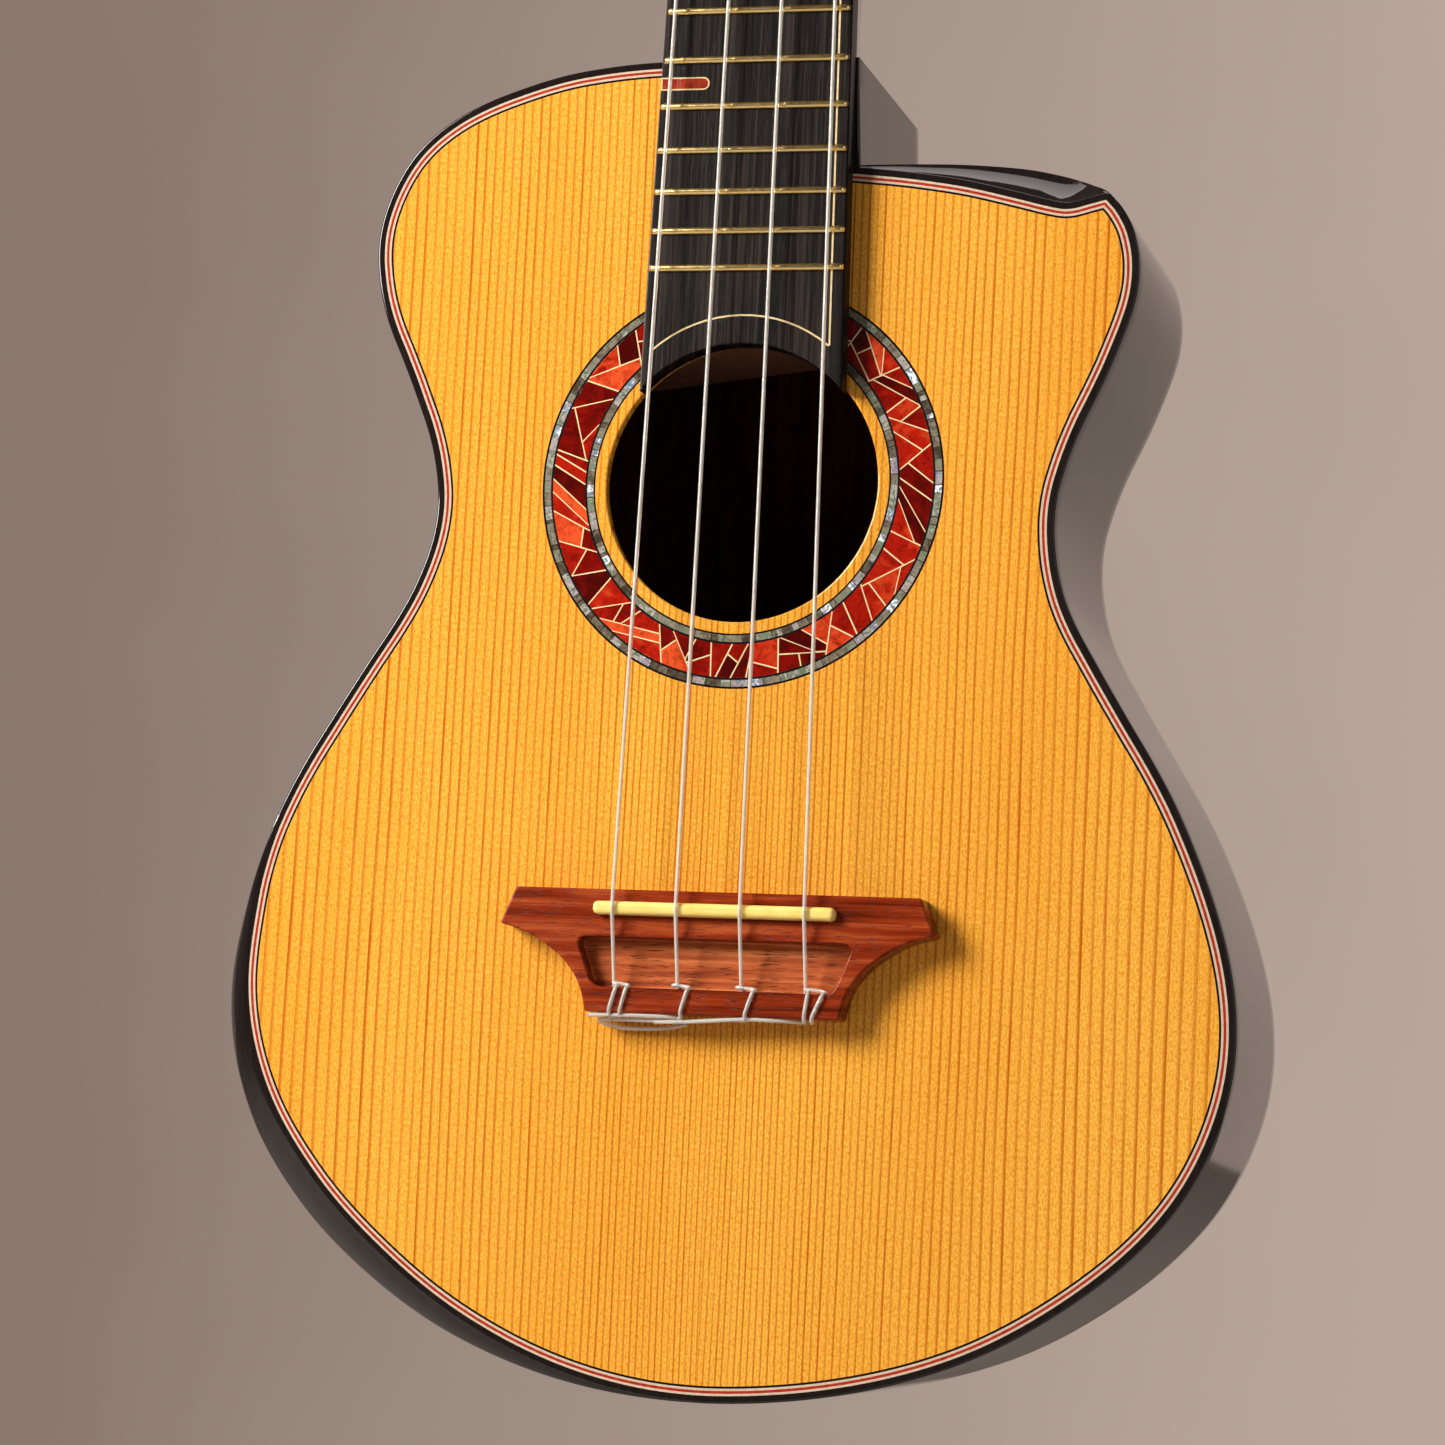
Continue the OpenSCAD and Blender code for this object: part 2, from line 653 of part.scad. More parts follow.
module post(n) {
    color("#c9a14a") at_tuner(n) difference() {
        rotate([90, 0, 0]) rotate_extrude() polygon([[0, -gear_y - gear_t], [2.2, -gear_y - gear_t],
            [2.2, -gear_y], [post_r, -gear_y], [post_r, 2.6], [waist_r, 3], [waist_r, 7.6],
            [post_r, 8], [post_r, post_top - 0.5], [post_r - 0.5, post_top], [0, post_top]]);
        translate([-5, -6.6, 0]) rotate([0, 90, 0]) cylinder(r = 0.6, h = 10);
    }
}
module gear(n) {
    tooth = 360 / gear_teeth;
    color("#d8b35c") at_tuner(n) difference() {
        upright(gear_y, gear_y + gear_t) polygon([for (i = [0:gear_teeth - 1], k = [-1, -0.5, 0.5, 1])
            let (a = 90 + tooth * (i + 0.5) + k * (abs(k) == 1 ? 8 : 6.8))
            (abs(k) == 1 ? gear_root_r : gear_out_r) * [cos(a), sin(a)]]);
        head_bore(2.2, gear_y - 1, gear_y + gear_t + 1);
    }
}
module winding(n) {
    color("#dcd8cc") at_tuner(n) rotate([90, 0, 0]) rotate_extrude() {
        for (k = [0:2]) translate([wind_r, -wind_y - (k - 0.2) * string_d * 0.94]) circle(d = string_d);
        translate([waist_r, -wind_y - 1.9 * string_d]) square([string_d / 2, string_d * 2.1]);
    }
}
thread_turns = 3.5;
thread_step = 20;
function thread_row(a) = [for (p = [[worm_root_r - 0.2, 0.4], [worm_out_r, 0.2], [worm_out_r, -0.2],
    [worm_root_r - 0.2, -0.4]]) [p[0] * cos(a), p[0] * sin(a), p[1] + worm_pitch * a / 360]];
module worm(n) {
    color("#d8b35c") at_tuner(n) translate([0, worm_y, worm_z]) rotate([0, 90, 0]) {
        translate([0, 0, -worm_half]) cylinder(r = worm_root_r, h = worm_half * 2);
        translate([0, 0, -ear_x[1] - 0.8]) cylinder(r = shaft_r, h = button_x[0] + 4 + ear_x[1] + 0.8);
        skin([for (a = [-180 * thread_turns:thread_step:180 * thread_turns]) thread_row(a)]);
    }
}
button_x = [17, 30];
button_half = [8.5, 3.6];
button_stem_r = 3.2;
button_mid = (button_x[0] + button_x[1]) / 2 + 1.2;
button_reach = button_x[1] - button_mid;
button_outline = [for (a = [0:10:350]) let (r = 1 - 0.12 * pow(cos(a / 2), 4))
    [button_mid + button_reach * cos(a) * r, button_half[0] * sin(a)]];
module button(n) {
    color("#1b1718") at_tuner(n) translate([0, worm_y, worm_z]) difference() {
        union() {
            translate([0, button_half[1], 0]) rotate([90, 0, 0]) linear_extrude(button_half[1] * 2)
                polygon(button_outline);
            translate([button_x[0], 0, 0]) rotate([0, 90, 0]) cylinder(r = button_stem_r, h = 5);
        }
        rotate([0, 90, 0]) cylinder(r = shaft_r, h = button_x[0] + 4);
    }
}

soundboard();
back();
sides();
neck();
heel_cap();
headstock_veneer();
neck_block();
tail_block();
top_linings();
back_linings();
soundboard_braces();
back_braces();
bridge_plate();
neck_rod();
top_binding();
back_binding();
white_purfling();
red_purfling();
black_purfling();
arm_bevel();
cutaway_bevel();
rosette_mosaic();
rosette_shell();
rosette_lines();
fretboard();
frets();
pinstripe();
fret_markers();
nut();
saddle();
bridge();
string(0);  // string_g
string(1);  // string_c
string(2);  // string_e
string(3);  // string_a
tuner_plates();
tuner_bushings();
tuner_screws();
button(0);  // button_g
button(1);  // button_c
button(2);  // button_e
button(3);  // button_a
worm(0);  // worm_g
worm(1);  // worm_c
worm(2);  // worm_e
worm(3);  // worm_a
post(0);  // post_g
post(1);  // post_c
post(2);  // post_e
post(3);  // post_a
gear(0);  // gear_g
gear(1);  // gear_c
gear(2);  // gear_e
gear(3);  // gear_a
winding(0);  // winding_g
winding(1);  // winding_c
winding(2);  // winding_e
winding(3);  // winding_a
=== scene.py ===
"""Tenor ukulele with a cutaway: its visible pieces, materials and studio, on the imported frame."""

import math
import random

import bmesh
import bpy
import numpy as np
from mathutils import Matrix, Vector
from mathutils.geometry import tessellate_polygon


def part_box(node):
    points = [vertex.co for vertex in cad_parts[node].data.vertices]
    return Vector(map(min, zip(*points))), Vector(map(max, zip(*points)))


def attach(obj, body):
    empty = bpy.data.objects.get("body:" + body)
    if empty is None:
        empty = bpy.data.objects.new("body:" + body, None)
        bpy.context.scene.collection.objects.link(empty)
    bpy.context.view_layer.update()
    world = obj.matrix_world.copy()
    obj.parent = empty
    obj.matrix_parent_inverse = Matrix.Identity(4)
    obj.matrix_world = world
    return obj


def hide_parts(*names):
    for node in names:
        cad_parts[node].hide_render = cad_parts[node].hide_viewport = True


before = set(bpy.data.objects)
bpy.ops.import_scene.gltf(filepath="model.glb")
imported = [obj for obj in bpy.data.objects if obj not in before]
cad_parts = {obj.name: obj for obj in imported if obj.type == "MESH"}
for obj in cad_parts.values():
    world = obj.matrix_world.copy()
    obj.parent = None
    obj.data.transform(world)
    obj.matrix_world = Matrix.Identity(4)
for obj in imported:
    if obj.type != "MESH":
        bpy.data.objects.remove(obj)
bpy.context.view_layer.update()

MM = 0.001
BODY = "instrument"
STRINGS = "gcea"

# The instrument's main measures, in millimetres
SCALE_LENGTH = 432.0
FRET_COUNT = 19
NUT_HALF = 17.75
BOARD_TAPER = 0.0181
BOARD_TOP = -5.2
STRING_D = 0.9
MARKER_LINE = 0.32
FRET = {"half_width": 0.85, "height": 0.95, "end_gap": 0.35}
HOLE_Z = -336.2
HOLE_R = 31.5
TOP_T = 2.2
SIDE_T = 1.7
BACK_T = 2.4
BODY_DEPTH = 65.0
BINDING_H = 5.0
EDGE_STEPS = (0.0, 1.7, 2.2, 2.8, 3.3, 3.8)
NECK_CORNER = (22.6, -238.0)
HEEL_FOOT = -232.0
TILE_GAP = 0.16
SECTORS = 19
INLAY_DEPTH = 1.2
ROSETTE = {"lines": ((34.2, 34.6), (36.1, 36.6), (44.2, 44.7), (46.2, 46.7)),
           "shell": ((34.6, 36.1), (44.7, 46.2)), "mosaic": (36.6, 44.2)}
EDGE_ROUND = 0.45
BACK_ROUND = 1.0
BEVEL_SLOPE = 1.15
BEVEL_FLOOR = 1.2
FARTHEST_MITRE = 2.5


# ---------------------------------------------------------------- outlines

def flat_loops(node, depth):
    """The closed outlines of a CAD node's faces that lie flat at a depth, as (x, z), the widest first."""
    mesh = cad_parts[node].data
    points, found, edges = [], {}, set()

    def index(co):
        key = (round(co.x * 1e5), round(co.z * 1e5))
        if key not in found:
            found[key] = len(points)
            points.append((co.x / MM, co.z / MM))
        return found[key]

    for face in mesh.polygons:
        corners = [mesh.vertices[v].co for v in face.vertices]
        if all(abs(c.y / MM - depth) < 2e-3 for c in corners):
            ids = [index(c) for c in corners]
            edges.update(zip(ids, ids[1:] + ids[:1]))
    after = {a: b for a, b in edges if (b, a) not in edges}
    loops = []
    while after:
        start, at = next(iter(after.items()))
        after.pop(start)
        loop = [start]
        while at != start:
            loop.append(at)
            at = after.pop(at)
        loops.append(anticlockwise(np.array([points[i] for i in loop])))
    return sorted(loops, key=lambda p: -np.ptp(p[:, 0]) * np.ptp(p[:, 1]))


def anticlockwise(loop):
    x, z = loop[:, 0], loop[:, 1]
    area = np.sum(x * np.roll(z, -1) - np.roll(x, -1) * z)
    return loop if area > 0 else loop[::-1]


def started_at(loop, point):
    first = np.argmin(np.hypot(*(loop - np.array(point)).T))
    return np.roll(loop, -first, axis=0)


def is_corner(a, b, c, limit):
    u, v = b - a, c - b
    turn = math.atan2(u[0] * v[1] - u[1] * v[0], float(u @ v))
    return abs(turn) > math.radians(limit)


def refine(loop, steps, limit=30):
    """More points on the smooth curve through a closed outline, which keeps its sharp corners."""
    n = len(loop)
    corner = [is_corner(loop[i - 1], loop[i], loop[(i + 1) % n], limit) for i in range(n)]
    out = []
    for i in range(n):
        b, c = loop[i], loop[(i + 1) % n]
        a = 2 * b - c if corner[i] else loop[i - 1]
        d = 2 * c - b if corner[(i + 1) % n] else loop[(i + 2) % n]
        for t in np.arange(steps) / steps:
            out.append(0.5 * (2 * b + (c - a) * t + (2 * a - 5 * b + 4 * c - d) * t ** 2
                              + (3 * b - a - 3 * c + d) * t ** 3))
    return np.array(out)


def clearance(points, loop):
    """How far each point is from a closed outline."""
    a, b = loop, np.roll(loop, -1, axis=0)
    v = b - a
    w = points[:, None, :] - a[None]
    t = np.clip(np.sum(w * v, axis=2) / np.maximum(np.sum(v * v, axis=1), 1e-12), 0, 1)
    return np.min(np.linalg.norm(w - t[..., None] * v, axis=2), axis=1)


def inward_of(steps):
    """The unit normal at the left of each step along an outline."""
    return np.column_stack([-steps[:, 1], steps[:, 0]]) / np.linalg.norm(steps, axis=1)[:, None]


def inset(loop, distance):
    """A closed outline moved inwards, point for point.

    Points that a corner swallows or throws far off go to their nearest neighbour.
    """
    if distance == 0:
        return loop
    before = loop - np.roll(loop, 1, axis=0)
    after = np.roll(before, -1, axis=0)
    mitre = inward_of(before) + inward_of(after)
    moved = loop + mitre * (2 * distance / np.sum(mitre * mitre, axis=1))[:, None]
    clear = clearance(moved, loop) > abs(distance) * 0.985 - 1e-4
    near = np.linalg.norm(moved - loop, axis=1) < abs(distance) * FARTHEST_MITRE
    kept = np.flatnonzero(clear & near)
    n = len(loop)
    gap = np.abs(np.arange(n)[:, None] - kept[None])
    nearest = kept[np.argmin(np.minimum(gap, n - gap), axis=1)]
    return moved[nearest]


def circle(radius):
    """A circle round the sound hole's centre."""
    turn = np.linspace(0, 2 * math.pi, 240, endpoint=False)
    return np.column_stack([radius * np.cos(turn), HOLE_Z + radius * np.sin(turn)])


def at_depth(loop, depth):
    """An outline as points of space in metres; its depth in millimetres may differ from point to point."""
    return np.column_stack([loop[:, 0], np.broadcast_to(depth, len(loop)), loop[:, 1]]) * MM


def rounded(radius, depth, end):
    """(inset, depth) pairs from a flat face over a rounded edge and along a wall to another depth."""
    way = 1 if end > depth else -1
    turns = np.linspace(0, math.pi / 2, 5)
    arc = [(radius * (1 - math.sin(a)), depth + way * radius * (1 - math.cos(a))) for a in turns]
    return [(radius + 0.05, depth), *arc, (0.0, end)]


def profile_rows(loop, profile):
    return [at_depth(inset(loop, d), y) for d, y in profile]


# ---------------------------------------------------------------- meshes

def finish_mesh(mesh, angle=35):
    shape = bmesh.new()
    shape.from_mesh(mesh)
    bmesh.ops.remove_doubles(shape, verts=shape.verts, dist=2e-7)
    bmesh.ops.dissolve_degenerate(shape, edges=shape.edges, dist=1e-7)
    bmesh.ops.recalc_face_normals(shape, faces=shape.faces)
    shape.to_mesh(mesh)
    shape.free()
    mesh.shade_smooth()
    mesh.set_sharp_from_angle(angle=math.radians(angle))


def add_piece(name, data, material, stands_for=(), body=BODY):
    piece = bpy.data.objects.new(name, data)
    bpy.context.scene.collection.objects.link(piece)
    data.materials.clear()
    data.materials.append(material)
    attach(piece, body)
    if stands_for:
        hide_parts(*stands_for)
    return piece


def mesh_piece(name, parts, material, stands_for=(), angle=35):
    """A piece from one or more (vertices, faces) parts."""
    verts, faces = [], []
    for part_verts, part_faces in parts:
        base = len(verts)
        verts.extend(tuple(map(float, v)) for v in part_verts)
        faces.extend(tuple(int(i) + base for i in face) for face in part_faces)
    mesh = bpy.data.meshes.new(name)
    mesh.from_pydata(verts, [], faces)
    finish_mesh(mesh, angle)
    return add_piece(name, mesh, material, stands_for)


def walls(rows, base=0, closed_column=False):
    """Faces between neighbouring rows, each a closed line of as many points."""
    n, m = len(rows[0]), len(rows)
    down = m if closed_column else m - 1
    return [(base + r * n + j, base + r * n + (j + 1) % n, base + (r + 1) % m * n + (j + 1) % n,
             base + (r + 1) % m * n + j) for r in range(down) for j in range(n)]


def ring(rows):
    """A closed ring whose section is the closed line through the rows."""
    return np.vstack(rows), walls(rows, closed_column=True)


def fill(verts, loops):
    """Triangles for a flat face: its outline and then its holes, each a list of vertex numbers."""
    clean = []
    for loop in loops:
        kept = [i for k, i in enumerate(loop) if np.linalg.norm(verts[i] - verts[loop[k - 1]]) > 1e-6]
        clean.append(kept)
    flat = [i for loop in clean for i in loop]
    made = tessellate_polygon([[Vector(verts[i]) for i in loop] for loop in clean])
    return [tuple(flat[i] for i in triangle) for triangle in made]


def slab(outer, holes=()):
    """A plate: rows from its front edge over its rim to its back edge, and the same for each hole."""
    verts, faces, first, last = [], [], [], []
    for rows in [outer, *holes]:
        base, n = len(verts), len(rows[0])
        verts.extend(np.vstack(rows))
        faces += walls(rows, base)
        first.append(list(range(base, base + n)))
        last.append(list(range(base + n * (len(rows) - 1), base + n * len(rows))))
    return verts, faces + fill(verts, first) + fill(verts, last)


def skin(rows):
    """A closed body through open-ended stations, each a closed section."""
    verts = np.vstack(rows)
    n = len(rows[0])
    ends = [tuple(range(n)), tuple(range(len(verts) - n, len(verts)))]
    return verts, walls(rows) + ends


def plate(outline, top, bottom, edge=0.0, holes=()):
    """A flat plate with a rounded front edge."""
    if edge:
        return slab(profile_rows(outline, rounded(edge, top, bottom)), holes)
    return slab([at_depth(outline, top), at_depth(outline, bottom)], holes)


def cad_shape(node):
    """A node's mesh as a bmesh with its flat faces whole."""
    shape = bmesh.new()
    shape.from_mesh(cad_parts[node].data)
    bmesh.ops.remove_doubles(shape, verts=shape.verts, dist=2e-6)
    bmesh.ops.dissolve_limit(shape, angle_limit=math.radians(0.6), verts=shape.verts, edges=shape.edges)
    return shape


def soften(node, width, material, smallest=0.15, keep=None, limit=35, body=BODY):
    """The node's shape with its sharp edges rounded; keep(a, b) names edges that stay sharp."""
    shape = cad_shape(node)
    sharp = [e for e in shape.edges if len(e.link_faces) == 2
             and e.calc_face_angle(0.0) > math.radians(limit) and e.calc_length() > smallest * MM
             and not (keep and keep(e.verts[0].co / MM, e.verts[1].co / MM))]
    bmesh.ops.bevel(shape, geom=sharp, offset=width * MM, offset_type="OFFSET", segments=3,
                    profile=0.5, affect="EDGES", clamp_overlap=False)
    mesh = bpy.data.meshes.new(node + "_soft")
    shape.to_mesh(mesh)
    shape.free()
    mesh.shade_smooth()
    mesh.set_sharp_from_angle(angle=math.radians(38))
    piece = add_piece(node + "_soft", mesh, material, [node], body)
    piece.modifiers.new("flat_faces", "WEIGHTED_NORMAL").keep_sharp = True
    return piece


def lifted(node, by, material):
    """The node's shape a hair proud of the surface it is let into."""
    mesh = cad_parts[node].data.copy()
    mesh.transform(Matrix.Translation((0, -by * MM, 0)))
    return add_piece(node + "_flush", mesh, material, [node])


def paint(node, material):
    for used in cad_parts[node].material_slots:
        used.material = material


# ---------------------------------------------------------------- materials

class Paint:
    """A material and short calls for the nodes that it needs."""

    def __init__(self, name, **shader):
        self.material = bpy.data.materials.new(name)
        self.material.use_nodes = True
        self.tree = self.material.node_tree
        self.shader = self.tree.nodes["Principled BSDF"]
        self.place = self.node("ShaderNodeTexCoord").outputs["Object"]
        for key, value in shader.items():
            self.set(key.replace("_", " "), value)

    def node(self, kind, inputs=None, **settings):
        made = self.tree.nodes.new(kind)
        for key, value in settings.items():
            setattr(made, key, value)
        for key, value in (inputs or {}).items():
            self.feed(made.inputs[key], value)
        return made

    def feed(self, socket, value):
        if isinstance(value, bpy.types.NodeSocket):
            self.tree.links.new(value, socket)
        elif isinstance(value, tuple) and len(value) == 3 and socket.type == "RGBA":
            socket.default_value = (*value, 1.0)
        else:
            socket.default_value = value

    def set(self, name, value):
        found = {s.name.lower(): s for s in self.shader.inputs}
        self.feed(found[name.lower()], value)

    def math(self, operation, a, b=0.0):
        return self.node("ShaderNodeMath", {0: a, 1: b}, operation=operation).outputs[0]

    def split(self):
        return self.node("ShaderNodeSeparateXYZ", {0: self.place}).outputs

    def stretched(self, x, y, z, shift=0.0):
        """The place with each axis counted in so many steps to the metre."""
        return self.node("ShaderNodeMapping", {"Vector": self.place, "Scale": (x, y, z),
                                               "Location": (shift, shift, shift)}).outputs[0]

    def noise(self, vector, detail=2.0, roughness=0.5, distortion=0.0):
        return self.node("ShaderNodeTexNoise", {"Vector": vector, "Scale": 1.0, "Detail": detail,
                                                "Roughness": roughness, "Distortion": distortion}).outputs[0]

    def ramp(self, factor, *stops):
        made = self.node("ShaderNodeValToRGB", {0: factor})
        elements = made.color_ramp.elements
        while len(elements) < len(stops):
            elements.new(0.5)
        for element, (position, colour) in zip(elements, stops):
            element.position = position
            element.color = (*colour, 1.0) if isinstance(colour, tuple) else (colour, colour, colour, 1.0)
        return made.outputs[0]

    def mix(self, factor, a, b, blend="MIX"):
        made = self.node("ShaderNodeMix", data_type="RGBA", blend_type=blend)
        for key, value in ((0, factor), (6, a), (7, b)):
            self.feed(made.inputs[key], value)
        return made.outputs[2]

    def bump(self, height, distance, strength=1.0):
        made = self.node("ShaderNodeBump", {"Height": height, "Distance": distance, "Strength": strength})
        self.set("Normal", made.outputs[0])


def lacquer(p, coat=1.0, gloss=0.05):
    p.set("Specular IOR Level", 0.0)
    p.set("Coat Weight", coat)
    p.set("Coat Roughness", gloss)
    return p.material


def year_rings(p):
    """How many year rings lie between the centre seam and each point: they widen towards the edges."""
    spread, rings = 0.0841, 64.7
    waver = p.math("MULTIPLY", p.math("SUBTRACT", p.noise(p.stretched(22, 0, 5), 2.0), 0.5), 0.004)
    across = p.math("ADD", p.math("ABSOLUTE", p.split()[0]), waver)
    widened = p.math("LOGARITHM", p.math("ADD", p.math("DIVIDE", across, spread), 1.0), math.e)
    return p.math("MULTIPLY", widened, rings)


def cedar():
    """Straight-grained top: fine late-wood lines at each year ring, with short specks between."""
    p = Paint("cedar_top", Roughness=0.42)
    count = year_rings(p)
    within = p.math("FRACT", count)
    line = p.ramp(within, (0.0, 0.2), (0.05, 0.0), (0.66, 0.0), (0.84, 0.9), (0.90, 1.0), (0.97, 1.0))
    each = p.node("ShaderNodeTexWhiteNoise", {"W": p.math("FLOOR", count)}, noise_dimensions="1D")
    depth = p.math("MULTIPLY", line, p.math("ADD", p.math("MULTIPLY", each.outputs[0], 0.5), 0.5))
    broken = p.ramp(p.noise(p.stretched(900, 0, 40, 3.0), 3.0), (0.3, 0.6), (0.62, 1.0))
    depth = p.math("MULTIPLY", depth, broken)
    broad = p.ramp(p.noise(p.stretched(16, 0, 4, 7.0), 3.0),
                   (0.32, (0.80, 0.360, 0.036)), (0.68, (0.88, 0.46, 0.060)))
    silk = p.ramp(p.noise(p.stretched(2300, 0, 1300, 11.0), 3.0, 0.7),
                  (0.34, (0.84, 0.60, 0.04)), (0.64, (1.11, 1.21, 1.7)))
    colour = p.mix(1.0, broad, silk, "MULTIPLY")
    colour = p.mix(depth, colour, (0.43, 0.082, 0.001))
    speck = p.ramp(p.noise(p.stretched(5200, 0, 420, 5.0), 2.0), (0.58, 0.0), (0.72, 0.6))
    p.set("Base Color", p.mix(speck, colour, (0.50, 0.130, 0.004)))
    return lacquer(p, 1.0, 0.045)


def dark_wood(name, low, high, along=(420, 420, 14), bare_to=None):
    """Dark wood with faint reddish grain along Z, lacquered except in front of bare_to."""
    p = Paint(name, Roughness=0.45)
    grain = p.noise(p.stretched(*along), 4.0, 0.6, 0.4)
    colour = p.ramp(grain, (0.32, low), (0.7, high))
    pore = p.ramp(p.noise(p.stretched(3000, 3000, 120, 2.0), 2.0), (0.60, 0.0), (0.68, 0.7))
    p.set("Base Color", p.mix(pore, colour, tuple(c * 0.35 for c in low)))
    coat = p.math("GREATER_THAN", p.split()[1], bare_to * MM) if bare_to else 1.0
    return lacquer(p, coat, 0.06)


def black_wood():
    p = Paint("black_binding", Roughness=0.4)
    grain = p.noise(p.stretched(700, 700, 30), 3.0)
    p.set("Base Color", p.ramp(grain, (0.3, (0.0075, 0.0055, 0.005)), (0.75, (0.017, 0.011, 0.0095))))
    return lacquer(p, 1.0, 0.05)


def board_wood():
    """Oiled fretboard: nearly black brown, with open pores along the neck."""
    p = Paint("fretboard_oiled", Roughness=0.34, Specular_IOR_Level=0.14)
    grain = p.noise(p.stretched(900, 200, 12), 4.0, 0.65)
    colour = p.ramp(grain, (0.38, (0.002, 0.0015, 0.001)), (0.5, (0.009, 0.006, 0.005)),
                    (0.64, (0.036, 0.026, 0.021)))
    pore = p.noise(p.stretched(3600, 3600, 240, 4.0), 2.0)
    p.set("Base Color", p.mix(p.ramp(pore, (0.6, 0.0), (0.67, 0.75)), colour, (0.006, 0.004, 0.004)))
    p.bump(p.ramp(pore, (0.58, 1.0), (0.68, 0.0)), 0.00003, 0.3)
    return p.material


def in_trough(p):
    """1 inside the bridge's trough, whose ends slant, and 0 elsewhere, for places in metres."""
    middle, foot, half_at_foot, slant, floor = 0.0009, -0.4508, 0.0275, 0.382, -0.0034
    x, y, z = p.split()
    reach = p.math("ADD", p.math("MULTIPLY", p.math("SUBTRACT", z, foot), slant), half_at_foot)
    beside = p.math("SUBTRACT", reach, p.math("ABSOLUTE", p.math("SUBTRACT", x, middle)))
    sunk = p.math("MULTIPLY", p.math("GREATER_THAN", beside, 0.0), p.math("GREATER_THAN", y, floor))
    return p.math("MULTIPLY", sunk, p.math("GREATER_THAN", z, foot))


def bridge_wood():
    """Polished rosewood, with dark streaks and short pores across the instrument and a sanded trough."""
    p = Paint("bridge_rosewood", Specular_IOR_Level=0.16)
    grain = p.noise(p.stretched(18, 300, 420), 5.0, 0.6, 0.5)
    polished = p.ramp(grain, (0.32, (0.085, 0.008, 0.001)), (0.5, (0.24, 0.024, 0.004)),
                      (0.66, (0.42, 0.080, 0.020)))
    sanded = p.ramp(grain, (0.34, (0.26, 0.040, 0.008)), (0.5, (0.46, 0.095, 0.020)),
                    (0.64, (0.66, 0.20, 0.062)))
    within = in_trough(p)
    colour = p.mix(within, polished, sanded)
    pore = p.noise(p.stretched(260, 3800, 4200, 6.0), 2.0)
    p.set("Base Color", p.mix(p.ramp(pore, (0.60, 0.0), (0.68, 0.85)), colour, (0.040, 0.005, 0.002)))
    p.set("Roughness", p.math("ADD", p.math("MULTIPLY", within, 0.4), 0.22))
    p.bump(p.ramp(pore, (0.58, 1.0), (0.68, 0.0)), 0.00005, 0.6)
    return p.material


def bare_wood(name, low, high):
    p = Paint(name, Roughness=0.72)
    grain = p.noise(p.stretched(500, 500, 22), 4.0, 0.6)
    p.set("Base Color", p.ramp(grain, (0.3, low), (0.7, high)))
    p.bump(grain, 0.0001, 0.4)
    return p.material


def bone(name, low, high):
    """Polished bone with soft clouds and faint fibres."""
    p = Paint(name, Roughness=0.3)
    cloud = p.noise(p.stretched(160, 300, 300), 3.0)
    p.set("Base Color", p.ramp(cloud, (0.3, low), (0.7, high)))
    p.set("Subsurface Weight", 0.12)
    p.set("Subsurface Scale", 0.002)
    p.bump(p.noise(p.stretched(700, 3000, 3000, 3.0), 2.0), 0.00002, 0.4)
    return p.material


def metal(name, low, high, roughness=(0.12, 0.24)):
    """Plated metal: slightly uneven colour and polish."""
    p = Paint(name, Metallic=1.0)
    cloud = p.noise(p.stretched(240, 240, 240), 3.0)
    p.set("Base Color", p.ramp(cloud, (0.3, low), (0.7, high)))
    worn = p.noise(p.stretched(900, 900, 900, 5.0), 3.0)
    p.set("Roughness", p.ramp(worn, (0.3, roughness[0]), (0.7, roughness[1])))
    return p.material


def plain_line(name, low, high, scale=900):
    """A thin veneer line under lacquer."""
    p = Paint(name, Roughness=0.45)
    p.set("Base Color", p.ramp(p.noise(p.stretched(scale, scale, scale), 3.0), (0.3, low), (0.7, high)))
    return lacquer(p, 1.0, 0.05)


def burl():
    """Dyed burl tiles: each tile has its own red, with clouds and dark swirls inside it."""
    p = Paint("rosette_burl", Roughness=0.4)
    tone = p.node("ShaderNodeAttribute", attribute_name="tile").outputs["Fac"]
    cloud = p.noise(p.stretched(230, 230, 230), 4.0, 0.6, 0.8)
    cloud = p.math("MULTIPLY", p.math("SUBTRACT", cloud, 0.5), 0.9)
    base = p.ramp(p.math("ADD", tone, cloud), (0.0, (0.06, 0.001, 0.0005)), (0.3, (0.20, 0.003, 0.001)),
                  (0.65, (0.42, 0.011, 0.003)), (1.0, (0.74, 0.085, 0.020)))
    swirl = p.noise(p.stretched(620, 620, 620, 4.0), 5.0, 0.65, 1.4)
    p.set("Base Color", p.mix(p.ramp(swirl, (0.50, 0.0), (0.72, 0.75)), base, (0.045, 0.002, 0.001)))
    return lacquer(p, 1.0, 0.05)


